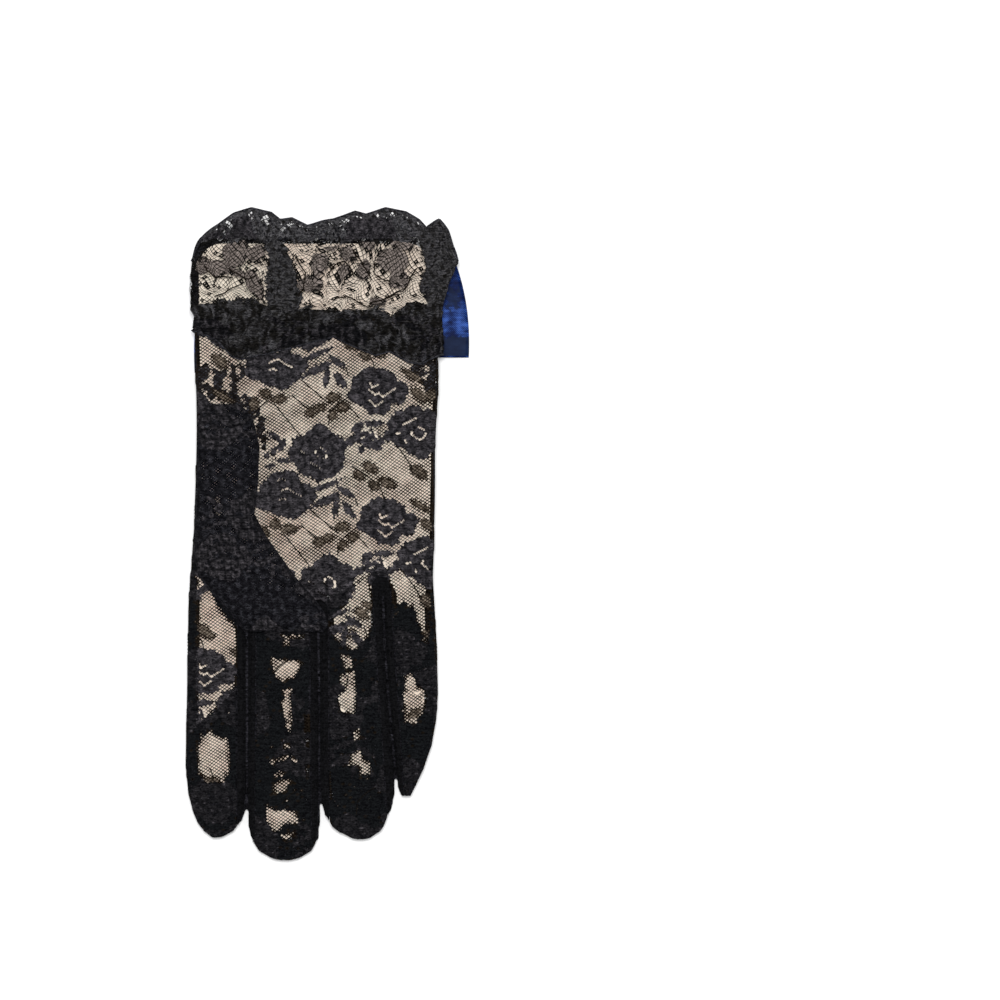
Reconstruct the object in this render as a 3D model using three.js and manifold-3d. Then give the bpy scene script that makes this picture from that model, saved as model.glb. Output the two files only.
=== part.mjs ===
// A lady's wrist-length lace glove for the right hand, lying palm up with its thumb folded across the palm, on the
// card form that keeps it flat. A gathered lace ruffle stands out from the wrist, and a wide satin bow is sewn to
// the back of it, so that its two loops show past the sides.
//
// Millimetres, +Z up. The fingers point along -Y, the ruffle along +Y, and the palm faces +Z. The origin is the
// middle of the bounding box, on the surface that the glove lies on.

import * as THREE from 'three';
import { mergeVertices } from 'three/addons/utils/BufferGeometryUtils.js';
import Module from 'manifold-3d';

const wasm = await Module();
wasm.setup();
const { Manifold, Mesh } = wasm;

// Cloth and card
const WALL = 1.0; // lace of the hand and thumb
const RUFFLE_WALL = 1.0;
const RIBBON_WALL = 1.0;
const CARD_THICK = 0.8;
const SEAM_GAP = 0.3; // clearance between neighbouring pieces
const CARD_CLEAR = 0.65; // card edge to the lace beside it

// The card lies in a plane that rises from the fingertips to the wrist, and the side seams run in it.
const TIP_Y = -113;
const TIP_MID_Z = 5.6;
const MID_SLOPE = 0.042;
const CROWN = 3.0; // palm lace above that plane
const FINGER_CROWN = 2.5;

// The back of the hand lies on the surface, and rises over the bow.
const RISE_START_Y = 12;
const RISE_END_Y = 48;
const WRIST_LIFT = 6.2;

const MOUTH_Y = 76; // open end of the hand, inside the ruffle

// Outline of the palm, seen from above, from the wrist to the knuckles. crown is a share of CROWN.
const PALM_ROWS = [
  { y: MOUTH_Y, left: -41.6, right: 42.2, crown: 1.0 },
  { y: 66, left: -41.5, right: 42.8, crown: 1.0 },
  { y: 57, left: -41.3, right: 43.2, crown: 1.0 },
  { y: 48, left: -41.0, right: 43.0, crown: 1.0 },
  { y: 39, left: -40.9, right: 42.4, crown: 1.0 },
  { y: 30, left: -41.0, right: 42.0, crown: 1.0 },
  { y: 20, left: -41.3, right: 42.0, crown: 1.0 },
  { y: 12, left: -41.6, right: 41.9, crown: 1.0 },
  { y: 3, left: -41.9, right: 41.7, crown: 1.0 },
  { y: -6, left: -42.6, right: 41.5, crown: 0.98 },
  { y: -12, left: -43.0, right: 41.3, crown: 0.86 },
  { y: -17, left: -43.2, right: 41.0, crown: 0.62 },
  { y: -21, left: -43.0, right: 40.6, crown: 0.3 },
];

// Outlines of the fingers. Above its crotches a finger overlaps the next one a little, and below them a slit parts
// the two. The last row of each is the blunt tip.
const FINGERS = {
  index: [
    { y: 2, left: -41.0, right: -23.0 },
    { y: -14, left: -43.4, right: -23.0 },
    { y: -26, left: -44.1, right: -23.1 },
    { y: -28, left: -44.1, right: -23.85 },
    { y: -55, left: -44.6, right: -23.85 },
    { y: -80, left: -45.2, right: -23.9 },
    { y: -90, left: -44.2, right: -24.2 },
    { y: -96, left: -42.6, right: -24.9 },
    { y: -100, left: -41.0, right: -26.2 },
    { y: -103.2, left: -38.6, right: -28.6 },
    { y: -105.2, left: -36.0, right: -31.2 },
  ],
  middle: [
    { y: 2, left: -24.1, right: 2.1 },
    { y: -26, left: -24.1, right: 2.1 },
    { y: -28, left: -23.35, right: 1.1 },
    { y: -60, left: -23.35, right: 1.3 },
    { y: -90, left: -23.5, right: 1.2 },
    { y: -101, left: -23.0, right: 1.1 },
    { y: -106.5, left: -21.8, right: 0.6 },
    { y: -110, left: -19.6, right: -1.2 },
    { y: -112.2, left: -15.6, right: -4.6 },
  ],
  ring: [
    { y: 2, left: 1.1, right: 24.2 },
    { y: -15.5, left: 1.1, right: 24.2 },
    { y: -17.5, left: 1.1, right: 23.4 },
    { y: -26, left: 1.1, right: 23.7 },
    { y: -28, left: 1.6, right: 23.8 },
    { y: -38, left: 1.65, right: 24.15 },
    { y: -58, left: 1.8, right: 25.5 },
    { y: -80, left: 1.75, right: 27.6 },
    { y: -90, left: 2.0, right: 27.4 },
    { y: -97, left: 3.5, right: 25.8 },
    { y: -101.5, left: 6.0, right: 24.0 },
    { y: -104.2, left: 9.4, right: 21.8 },
    { y: -105.8, left: 12.6, right: 19.4 },
  ],
  little: [
    { y: 2, left: 23.1, right: 41.2 },
    { y: -15.5, left: 23.1, right: 41.3 },
    { y: -17.5, left: 23.9, right: 41.4 },
    { y: -38, left: 24.65, right: 42.6 },
    { y: -55, left: 25.85, right: 43.0 },
    { y: -64, left: 26.75, right: 42.4 },
    { y: -73, left: 27.5, right: 40.8 },
    { y: -81, left: 28.4, right: 38.0 },
    { y: -87, left: 29.2, right: 35.2 },
    { y: -90.6, left: 30.4, right: 33.4 },
  ],
};

// The strip between two fingers, down both sides of their slit. x is the middle of the slit at its crotch and at
// the fingertips, and top is the strip's rounded end on the palm.
const FOURCHETTE_HALF = 3.0;
const FOURCHETTES = {
  index_middle: { crotchX: -23.6, tipX: -24.1, top: -24.5, bottom: -106 },
  middle_ring: { crotchX: 1.6, tipX: 1.9, top: -22.5, bottom: -106 },
  ring_little: { crotchX: 23.1, tipX: 29.0, top: -14.2, bottom: -106 },
};

// Thumb, folded over the palm: its edges from above, from its round upper end to its blunt tip.
const THUMB_HEIGHT = 5.6;
const THUMB_ROWS = [
  { y: 46.0, left: -36.5, right: -26.5, height: 0.45 },
  { y: 43.5, left: -39.2, right: -23.0, height: 0.7 },
  { y: 39.0, left: -40.2, right: -20.6, height: 0.9 },
  { y: 31.0, left: -40.6, right: -18.8, height: 1.0 },
  { y: 18.0, left: -41.0, right: -19.4, height: 1.0 },
  { y: 7.5, left: -41.4, right: -20.6, height: 1.0 },
  { y: 0.0, left: -41.7, right: -16.6, height: 0.97 },
  { y: -7.0, left: -41.6, right: -11.6, height: 0.95 },
  { y: -14.0, left: -40.4, right: -6.6, height: 0.96 },
  { y: -19.5, left: -36.2, right: -1.8, height: 0.96 },
  { y: -25.0, left: -31.2, right: 2.6, height: 0.94 },
  { y: -29.0, left: -27.8, right: 4.6, height: 0.84 },
  { y: -31.8, left: -25.6, right: 4.6, height: 0.62 },
  { y: -33.4, left: -24.4, right: 3.0, height: 0.36 },
];
const THUMB_HOLE = { x: -30.2, y: 24.0, halfWidth: 7.4, halfLength: 14.5 };

// Card form: a palm as wide as the lace lets it be, with a slim finger inside each finger.
const CARD_TOP_Y = 101.5;
const CARD_CORNER = 8;
const CARD_KNUCKLE_Y = -20;
const CARD_WEB_Y = -10;
const CARD_FINGERS = [
  { baseLeft: -40.0, baseRight: -26.3, tipLeft: -40.6, tipRight: -29.6, tipY: -88.0 },
  { baseLeft: -19.0, baseRight: -5.0, tipLeft: -18.6, tipRight: -5.6, tipY: -106.2 },
  { baseLeft: 6.6, baseRight: 19.4, tipLeft: 7.8, tipRight: 20.6, tipY: -88.0 },
  { baseLeft: 28.6, baseRight: 38.4, tipLeft: 30.6, tipRight: 38.0, tipY: -68.0 },
];

// Ruffle: one band of gathered lace around the wrist. Its rows run from the hem of its short heading, over the
// hand, to the scalloped free edge. grow is how far the band stands out from the wrist there, and gather and flute
// are the heights of its fine pleats and broad waves. hem and edge are the shares that the hem's and the free
// edge's own curves have in a row's y.
const RUFFLE_HALF = 42.3;
const RUFFLE_ROWS = [
  { y: 62.5, grow: 1.9, gather: 0.8, flute: 0.0, hem: 1.0, edge: 0.0 },
  { y: 67.5, grow: 1.8, gather: 0.75, flute: 0.0, hem: 0.5, edge: 0.0 },
  { y: 72.5, grow: 1.5, gather: 0.55, flute: 0.0, hem: 0.0, edge: 0.0 },
  { y: 76.5, grow: 1.3, gather: 0.35, flute: 0.0, hem: 0.0, edge: 0.0 },
  { y: 81.0, grow: 1.4, gather: 0.6, flute: 0.5, hem: 0.0, edge: 0.0 },
  { y: 88.5, grow: 1.8, gather: 0.6, flute: 1.3, hem: 0.0, edge: 0.12 },
  { y: 96.0, grow: 2.3, gather: 0.35, flute: 2.1, hem: 0.0, edge: 0.45 },
  { y: 102.0, grow: 2.6, gather: 0.15, flute: 2.6, hem: 0.0, edge: 1.0 },
];
const GATHER_Y = RUFFLE_ROWS[3].y;
const EDGE_Y = RUFFLE_ROWS[7].y;
const RUFFLE_FLARE = { half: 1.2, shift: 3.2 };
const RUFFLE_SIDES = 112;
const PLEATS = 22;
// Free edge in front, from left to right, and the hem of the heading
const FRONT_EDGE = [
  { x: -42.6, y: 95.5 },
  { x: -41.4, y: 100.5 },
  { x: -38.5, y: 104.6 },
  { x: -33.0, y: 107.6 },
  { x: -27.5, y: 111.4 },
  { x: -21.4, y: 113.2 },
  { x: -14.5, y: 111.6 },
  { x: -11.5, y: 109.2 },
  { x: -7.4, y: 109.8 },
  { x: -2.1, y: 107.2 },
  { x: 3.5, y: 108.9 },
  { x: 7.0, y: 109.4 },
  { x: 14.4, y: 112.0 },
  { x: 18.2, y: 111.0 },
  { x: 24.9, y: 113.2 },
  { x: 32.0, y: 111.8 },
  { x: 36.5, y: 109.2 },
  { x: 38.9, y: 106.6 },
  { x: 43.4, y: 109.9 },
  { x: 46.6, y: 107.6 },
  { x: 48.6, y: 102.0 },
  { x: 49.6, y: 95.5 },
];
const FRONT_HEM = [
  { x: -44.0, y: 70.9 },
  { x: -40.6, y: 70.9 },
  { x: -34.3, y: 67.4 },
  { x: -29.0, y: 62.5 },
  { x: -25.9, y: 61.1 },
  { x: -17.5, y: 62.8 },
  { x: -6.3, y: 65.6 },
  { x: 6.7, y: 69.0 },
  { x: 11.9, y: 66.3 },
  { x: 21.4, y: 62.5 },
  { x: 26.3, y: 63.9 },
  { x: 33.0, y: 60.0 },
  { x: 37.0, y: 59.5 },
  { x: 44.0, y: 63.0 },
];
const SIDE_EDGE = -6.5; // reach of the free edge past its row at the two sides
const BACK_EDGE = { scallops: 6, crest: 4.5, notch: 0.5, wave: 0.35, pleat: 0.4, grow: 0.8 };
const WAVE_BASE = 0.1;
const WAVE_PER_REACH = 0.16;

// Bow on the back of the wrist: two flattened loops of wide ribbon and the wrap between them.
const BOW_Y = 79;
const KNOT = { x: 2, halfWidth: 5.0, halfLength: 8.5, height: 3.4 };
const LOOPS = {
  right: { reach: 54.2, side: 1, outerLow: 62.3, outerHigh: 99.5, taperHigh: 6.6, taperLow: 0.4 },
  left: { reach: -43.2, side: -1, outerLow: 57.0, outerHigh: 94.0, taperHigh: 4.5, taperLow: 0.5 },
};
const LOOP_GAP = 0.6; // air between the two halves of a loop
const KNOT_HALF_WIDTH = 6.5; // half the pinched width of the ribbon at the knot

const LACE = { color: 0x1d1c20, roughness: 0.82, metalness: 0 };
const TRICOT = { color: 0x121216, roughness: 0.9, metalness: 0 };
const SATIN = { color: 0x2a4a9a, roughness: 0.38, metalness: 0 };
const CARD = { color: 0xe6d3b8, roughness: 0.86, metalness: 0 };

// Heights shared by all pieces

function midHeight(y) {
  return TIP_MID_Z + MID_SLOPE * (y - TIP_Y);
}

function smoothstep(low, high, value) {
  const t = Math.min(1, Math.max(0, (value - low) / (high - low)));
  return t * t * (3 - 2 * t);
}

function backHeight(y) {
  return WRIST_LIFT * smoothstep(RISE_START_Y, RISE_END_Y, y);
}

// Closed bodies from rings of points

function meshToManifold(positions, triangles) {
  const mesh = new Mesh({
    numProp: 3,
    vertProperties: new Float32Array(positions),
    triVerts: new Uint32Array(triangles),
  });
  mesh.merge();
  return new Manifold(mesh);
}

function geometryToManifold(geometry) {
  const plain = geometry.clone();
  plain.deleteAttribute('normal');
  plain.deleteAttribute('uv');
  const merged = mergeVertices(plain, 1e-4);
  return meshToManifold(merged.attributes.position.array, merged.index.array);
}

function manifoldToGeometry(solid) {
  const mesh = solid.getMesh();
  const count = mesh.vertProperties.length / mesh.numProp;
  const positions = new Float32Array(count * 3);
  for (let i = 0; i < count; i += 1) {
    for (let axis = 0; axis < 3; axis += 1) {
      positions[i * 3 + axis] = mesh.vertProperties[i * mesh.numProp + axis];
    }
  }
  const geometry = new THREE.BufferGeometry();
  geometry.setAttribute('position', new THREE.BufferAttribute(positions, 3));
  geometry.setIndex(new THREE.BufferAttribute(new Uint32Array(mesh.triVerts), 1));
  geometry.computeVertexNormals();
  return geometry;
}

// Skins a list of equal rings, each an array of Vector3, and closes both ends with a fan.
function skinRings(rings) {
  const sides = rings[0].length;
  const positions = [];
  const triangles = [];
  for (const ring of rings) {
    for (const point of ring) positions.push(point.x, point.y, point.z);
  }
  for (let r = 0; r < rings.length - 1; r += 1) {
    for (let s = 0; s < sides; s += 1) {
      const next = (s + 1) % sides;
      const a = r * sides + s;
      const b = r * sides + next;
      triangles.push(a, b, b + sides, a, b + sides, a + sides);
    }
  }
  [0, rings.length - 1].forEach((r, end) => {
    const centre = rings[r].reduce((sum, p) => sum.add(p), new THREE.Vector3()).divideScalar(sides);
    const hub = positions.length / 3;
    positions.push(centre.x, centre.y, centre.z);
    for (let s = 0; s < sides; s += 1) {
      const a = r * sides + s;
      const b = r * sides + ((s + 1) % sides);
      if (end === 0) triangles.push(hub, b, a);
      else triangles.push(hub, a, b);
    }
  });
  return meshToManifold(positions, triangles);
}

// A soft flattened section across Y: a superellipse with its own height above and below the middle, and a flat
// underside where it lies on something.
const FLATTEN = 1.1;

function softSection(row, inset, sides, squareness) {
  const centre = (row.left + row.right) / 2;
  const half = (row.right - row.left) / 2 - inset;
  const ring = [];
  for (let s = 0; s < sides; s += 1) {
    const angle = ((s + 0.5) / sides) * 2 * Math.PI;
    const cos = Math.cos(angle);
    const sin = Math.sin(angle);
    const x = centre + half * Math.sign(cos) * Math.abs(cos) ** (2 / squareness);
    const lift = Math.abs(sin) ** (2 / squareness);
    const above = (row.up - inset) * lift;
    const below = (row.down - inset) * Math.min(1, FLATTEN * lift);
    const z = row.mid + (sin > 0 ? above : -below);
    ring.push(new THREE.Vector3(x, row.y, z));
  }
  return ring;
}

function softLoft(rows, inset, sides, squareness) {
  const kept = rows.filter(
    (row) => row.right - row.left > 2 * inset + 0.6 && row.up > inset + 0.15 && row.down > inset + 0.15,
  );
  const rings = kept.map((row) => softSection(row, inset, sides, squareness));
  return skinRings(rings);
}

// The hand: palm and four fingers, as an outer form, or as its hollow when inset is the wall

const PALM_SIDES = 36;
const FINGER_SIDES = 16;
const THUMB_SIDES = 20;
const PALM_SQUARE = 4.2;
const FINGER_SQUARE = 2.9;
const TIP_ROUND = 14; // length over which a fingertip thins

function palmRows(inset) {
  return PALM_ROWS.map((row, i) => {
    const mid = midHeight(row.y);
    const down = (mid - backHeight(row.y)) * Math.min(1, 0.55 + 0.5 * row.crown);
    const y = i === 0 ? row.y + inset * 6 : row.y;
    return { ...row, y, mid, up: CROWN * row.crown, down };
  });
}

function fingerRows(rows, inset) {
  const tip = rows[rows.length - 1].y;
  return rows.map((row) => {
    const toTip = Math.min(1, (row.y - tip + 1.2) / TIP_ROUND);
    const share = Math.sqrt(1 - (1 - toTip) ** 2);
    const mid = midHeight(row.y);
    const widest = (row.right - row.left) / 2;
    const up = Math.min(FINGER_CROWN * (0.55 + 0.45 * share), widest);
    const down = (mid - backHeight(row.y)) * (0.5 + 0.5 * share);
    return { ...row, y: row.y + (row.y < tip + TIP_ROUND ? inset * (1 - toTip) : 0), mid, up, down };
  });
}

function handForm(inset) {
  let form = softLoft(palmRows(inset), inset, PALM_SIDES, PALM_SQUARE);
  for (const rows of Object.values(FINGERS)) {
    form = form.add(softLoft(fingerRows(rows, inset), inset, FINGER_SIDES, FINGER_SQUARE));
  }
  return form;
}

// Cutters

function prism(points, low, high) {
  const shape = new THREE.Shape(points.map(([x, y]) => new THREE.Vector2(x, y)));
  const geometry = new THREE.ExtrudeGeometry(shape, { depth: high - low, bevelEnabled: false });
  geometry.translate(0, 0, low);
  return geometryToManifold(geometry);
}

const TALL = 40;

function fourchetteBand(strip, grow) {
  const half = FOURCHETTE_HALF + grow;
  const points = [];
  const arcSteps = 8;
  for (let i = 0; i <= arcSteps; i += 1) {
    const angle = (i / arcSteps) * Math.PI;
    points.push([strip.crotchX + half * Math.cos(angle), strip.top - FOURCHETTE_HALF + half * Math.sin(angle)]);
  }
  points.push([strip.tipX - half, strip.bottom - grow]);
  points.push([strip.tipX + half, strip.bottom - grow]);
  return prism(points, -TALL, TALL);
}

function ovalPrism(hole, grow) {
  const shape = new THREE.Shape();
  shape.absellipse(hole.x, hole.y, hole.halfWidth + grow, hole.halfLength + grow, 0, 2 * Math.PI);
  const points = shape.getPoints(7).slice(0, -1).map((p) => [p.x, p.y]);
  return prism(points, 0, TALL);
}

// Everything above or below the seam plane, less half the seam's gap
function seamHalf(side) {
  const far = 300;
  const rings = [far, -far].map((y) => {
    const near = midHeight(y) + (side * SEAM_GAP) / 2;
    const away = near + side * TALL;
    const corners = [
      [-far, near],
      [far, near],
      [far, away],
      [-far, away],
    ];
    const turned = side > 0 ? corners : corners.reverse();
    return turned.map(([x, z]) => new THREE.Vector3(x, y, z));
  });
  return skinRings(rings);
}

function largestPart(solid) {
  const parts = solid.decompose();
  return parts.reduce((best, part) => (part.volume() > best.volume() ? part : best));
}

function handPieces() {
  const outer = handForm(0);
  const shell = outer.subtract(handForm(WALL));
  const strips = Object.entries(FOURCHETTES);
  let panels = shell;
  for (const [, strip] of strips) panels = panels.subtract(fourchetteBand(strip, SEAM_GAP));
  const palm = largestPart(panels.intersect(seamHalf(1)).subtract(ovalPrism(THUMB_HOLE, 0)));
  const back = largestPart(panels.intersect(seamHalf(-1)));
  const pieces = { palm_panel: palm, back_panel: back };
  for (const [name, strip] of strips) {
    pieces[`fourchette_${name}`] = largestPart(shell.intersect(fourchetteBand(strip, 0)));
  }
  return pieces;
}

// Thumb: a flat pocket that follows the palm beneath it and opens through the oval hole in the palm

function thumbRows() {
  return THUMB_ROWS.map((row) => {
    const seat = midHeight(row.y) + CROWN;
    const mid = seat - 1.0;
    return { ...row, mid, up: 1.0 + (THUMB_HEIGHT - 0.2) * row.height, down: 3.4 };
  });
}

function thumbPiece() {
  const outer = softLoft(thumbRows(), 0, THUMB_SIDES, FINGER_SQUARE).subtract(handForm(-SEAM_GAP));
  const hollow = softLoft(thumbRows(), WALL, THUMB_SIDES, FINGER_SQUARE).subtract(handForm(-SEAM_GAP - WALL));
  const floorCut = ovalPrism(THUMB_HOLE, 0).intersect(handForm(-SEAM_GAP - WALL - 0.1));
  return largestPart(outer.subtract(hollow).subtract(floorCut));
}

// Sheets with a thickness: point(u, v) gives the middle surface for u and v from 0 to 1

function sheetSolid(point, steps, thickness, closed) {
  const columns = closed ? steps.u : steps.u + 1;
  const rows = steps.v + 1;
  const centre = (i, j) => point(i / steps.u, j / steps.v);
  const small = 1e-3;
  const normal = (i, j) => {
    const u = i / steps.u;
    const v = j / steps.v;
    const alongU = point(closed ? u + small : Math.min(1, u + small), v).sub(
      point(closed ? u - small : Math.max(0, u - small), v),
    );
    const alongV = point(u, Math.min(1, v + small)).sub(point(u, Math.max(0, v - small)));
    return alongU.cross(alongV).normalize();
  };
  const positions = [];
  for (const side of [0.5, -0.5]) {
    for (let j = 0; j < rows; j += 1) {
      for (let i = 0; i < columns; i += 1) {
        const p = centre(i, j).addScaledVector(normal(i, j), side * thickness);
        positions.push(p.x, p.y, p.z);
      }
    }
  }
  const layer = columns * rows;
  const at = (i, j) => j * columns + (closed ? i % columns : i);
  const triangles = [];
  const quad = (a, b, c, d) => triangles.push(a, b, c, a, c, d);
  for (let j = 0; j < rows - 1; j += 1) {
    for (let i = 0; i < steps.u; i += 1) {
      quad(at(i, j), at(i + 1, j), at(i + 1, j + 1), at(i, j + 1));
      quad(layer + at(i, j), layer + at(i, j + 1), layer + at(i + 1, j + 1), layer + at(i + 1, j));
    }
  }
  for (let i = 0; i < steps.u; i += 1) {
    quad(at(i, 0), layer + at(i, 0), layer + at(i + 1, 0), at(i + 1, 0));
    quad(at(i, rows - 1), at(i + 1, rows - 1), layer + at(i + 1, rows - 1), layer + at(i, rows - 1));
  }
  if (!closed) {
    for (let j = 0; j < rows - 1; j += 1) {
      quad(at(0, j), at(0, j + 1), layer + at(0, j + 1), layer + at(0, j));
      quad(at(steps.u, j), layer + at(steps.u, j), layer + at(steps.u, j + 1), at(steps.u, j + 1));
    }
  }
  return meshToManifold(positions, triangles);
}

// Ruffle

function rowAt(rows, t) {
  const place = Math.min(rows.length - 1.000001, Math.max(0, t * (rows.length - 1)));
  const i = Math.floor(place);
  const share = place - i;
  const mixed = {};
  for (const key of Object.keys(rows[0])) mixed[key] = rows[i][key] * (1 - share) + rows[i + 1][key] * share;
  return mixed;
}

function curveAt(points, x) {
  if (x <= points[0].x) return points[0].y;
  const i = points.findIndex((point) => point.x >= x);
  if (i < 0) return points[points.length - 1].y;
  const [a, b] = [points[i - 1], points[i]];
  return a.y + ((b.y - a.y) * (x - a.x)) / (b.x - a.x);
}

// A flattened loop of unit half-width and half-height, walked by its own length on the wrist's proportions
function flatLoop(angle) {
  const cos = Math.cos(angle);
  const sin = Math.sin(angle);
  const x = Math.sign(cos) * Math.abs(cos) ** (2 / PALM_SQUARE);
  const z = Math.sign(sin) * Math.abs(sin) ** (2 / PALM_SQUARE);
  return { x, z };
}

const ARC_STEPS = 1440;
const WRIST_HEIGHT = 6;
const arcLengths = [0];
for (let i = 1; i <= ARC_STEPS; i += 1) {
  const a = flatLoop(((i - 1) / ARC_STEPS) * 2 * Math.PI);
  const b = flatLoop((i / ARC_STEPS) * 2 * Math.PI);
  const step = Math.hypot((b.x - a.x) * RUFFLE_HALF, (b.z - a.z) * WRIST_HEIGHT);
  arcLengths.push(arcLengths[i - 1] + step);
}

function angleAtShare(u) {
  const wanted = (u - Math.floor(u)) * arcLengths[ARC_STEPS];
  const i = Math.max(1, arcLengths.findIndex((length) => length >= wanted));
  const share = (wanted - arcLengths[i - 1]) / (arcLengths[i] - arcLengths[i - 1]);
  return ((i - 1 + share) / ARC_STEPS) * 2 * Math.PI;
}

// u runs round the wrist, from the right side over the front to the left side and back underneath
function rufflePoint(u, v) {
  const row = rowAt(RUFFLE_ROWS, v);
  const turn = u * 2 * Math.PI;
  const loop = flatLoop(angleAtShare(u));
  const front = loop.z > 0;
  const flare = smoothstep(GATHER_Y, EDGE_Y, row.y);
  const half = RUFFLE_HALF + row.grow + RUFFLE_FLARE.half * flare;
  const x = 0.4 + RUFFLE_FLARE.shift * flare + half * loop.x;
  const mid = midHeight(row.y);
  const facing = smoothstep(0.25, 0.9, Math.abs(loop.z));
  const frontReach = curveAt(FRONT_EDGE, x) - EDGE_Y;
  const scallop = Math.abs(Math.sin((Math.PI * BACK_EDGE.scallops * (x + 50)) / 100));
  const backReach = BACK_EDGE.notch + (BACK_EDGE.crest - BACK_EDGE.notch) * scallop;
  const reach = SIDE_EDGE + ((front ? frontReach : backReach) - SIDE_EDGE) * facing;
  const hemShift = front ? (curveAt(FRONT_HEM, x) - RUFFLE_ROWS[0].y) * facing : 0;
  const pleat = row.gather * Math.cos(PLEATS * turn + 1.3 * Math.sin(3 * turn)) * facing;
  const y = row.y + row.edge * reach + row.hem * hemShift;
  if (front) {
    const wave = row.flute * (WAVE_BASE + WAVE_PER_REACH * reach) * facing;
    return new THREE.Vector3(x, y, mid + (CROWN + row.grow) * loop.z + pleat + wave);
  }
  const wave = row.flute * BACK_EDGE.wave * (reach / BACK_EDGE.crest - 0.5) * facing;
  const down = mid - WRIST_LIFT + BACK_EDGE.grow * row.grow;
  const lift = Math.max(-1, FLATTEN * loop.z);
  return new THREE.Vector3(x, y, mid + down * lift + pleat * BACK_EDGE.pleat - wave);
}

function rufflePiece() {
  const steps = { u: RUFFLE_SIDES, v: RUFFLE_ROWS.length - 1 };
  return sheetSolid(rufflePoint, steps, RUFFLE_WALL, true);
}

// Bow

function loopPoint(loop) {
  const start = KNOT.x + loop.side * (KNOT.halfWidth + SEAM_GAP);
  const fold = (RIBBON_WALL + LOOP_GAP) / 2; // radius of the outer fold
  const length = Math.abs(loop.reach - start) - fold - RIBBON_WALL / 2;
  const whole = 2 * length + Math.PI * fold;
  return (u, v) => {
    const s = u * whole;
    const foldAngle = Math.min(Math.PI, Math.max(0, (s - length) / fold));
    const run = s < length ? s : s > whole - length ? whole - s : length;
    const out = run + fold * Math.sin(foldAngle);
    const share = run / length;
    const width = smoothstep(-0.15, 0.75, share);
    const low = (BOW_Y - KNOT_HALF_WIDTH) * (1 - width) + loop.outerLow * width;
    const high = (BOW_Y + KNOT_HALF_WIDTH) * (1 - width) + loop.outerHigh * width;
    const y = low + (high - low) * v;
    // the outer fold is a convex curve: it draws back towards the ribbon's two edges
    const drawn = (loop.taperHigh * v ** 2.4 + loop.taperLow * (1 - v) ** 4) * share;
    const z = RIBBON_WALL / 2 + fold - fold * Math.cos(foldAngle);
    return new THREE.Vector3(start + loop.side * (out - drawn), y, z);
  };
}

function loopPiece(loop) {
  const point = loopPoint(loop);
  const turned = loop.side > 0 ? point : (u, v) => point(1 - u, v);
  return sheetSolid(turned, { u: 20, v: 6 }, RIBBON_WALL, false);
}

function knotPiece() {
  const rows = [-1, -0.82, 0, 0.82, 1].map((t) => {
    const share = Math.abs(t) === 1 ? 0.86 : 1;
    return {
      y: BOW_Y + t * KNOT.halfLength,
      left: KNOT.x - KNOT.halfWidth * share,
      right: KNOT.x + KNOT.halfWidth * share,
      mid: KNOT.height / 2,
      up: (KNOT.height / 2) * share,
      down: KNOT.height / 2,
    };
  });
  return softLoft(rows.reverse(), 0, 20, 4);
}

// Card form

function cardPiece() {
  const side = (rows, y, key) => {
    const i = Math.max(1, rows.findIndex((row) => row.y <= y));
    const [above, below] = [rows[i - 1], rows[i]];
    const t = (above.y - y) / (above.y - below.y);
    return above[key] * (1 - t) + below[key] * t;
  };
  const inset = WALL + CARD_CLEAR;
  const leftAt = (y) => side(PALM_ROWS, Math.min(y, MOUTH_Y), 'left') + inset;
  const rightAt = (y) => side(PALM_ROWS, Math.min(y, MOUTH_Y), 'right') - inset;
  const shape = new THREE.Shape();
  const topLeft = leftAt(MOUTH_Y);
  const topRight = rightAt(MOUTH_Y);
  shape.moveTo(topLeft, CARD_TOP_Y - CARD_CORNER);
  for (const y of [MOUTH_Y, 39, 12, -6, -17]) shape.lineTo(leftAt(y), y);
  CARD_FINGERS.forEach((finger, i) => {
    const half = (finger.tipRight - finger.tipLeft) / 2;
    const roundY = finger.tipY + half;
    shape.lineTo(finger.baseLeft, CARD_KNUCKLE_Y);
    shape.lineTo(finger.tipLeft, roundY);
    shape.absarc((finger.tipLeft + finger.tipRight) / 2, roundY, half, Math.PI, 2 * Math.PI, false);
    shape.lineTo(finger.baseRight, CARD_KNUCKLE_Y);
    const next = CARD_FINGERS[i + 1];
    if (next) {
      shape.quadraticCurveTo(
        (finger.baseRight + next.baseLeft) / 2,
        CARD_WEB_Y,
        next.baseLeft,
        CARD_KNUCKLE_Y,
      );
    }
  });
  for (const y of [-17, -6, 12, 39, 57, MOUTH_Y]) shape.lineTo(rightAt(y), y);
  const cornerY = CARD_TOP_Y - CARD_CORNER;
  shape.absarc(topRight - CARD_CORNER, cornerY, CARD_CORNER, 0, Math.PI / 2, false);
  shape.absarc(topLeft + CARD_CORNER, cornerY, CARD_CORNER, Math.PI / 2, Math.PI, false);
  const geometry = new THREE.ExtrudeGeometry(shape, {
    depth: CARD_THICK,
    bevelEnabled: false,
    curveSegments: 6,
  });
  return geometry;
}

// Assembly

function addPiece(group, name, geometry, look) {
  const mesh = new THREE.Mesh(geometry, new THREE.MeshStandardMaterial(look));
  mesh.name = name;
  group.add(mesh);
  return mesh;
}

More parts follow.
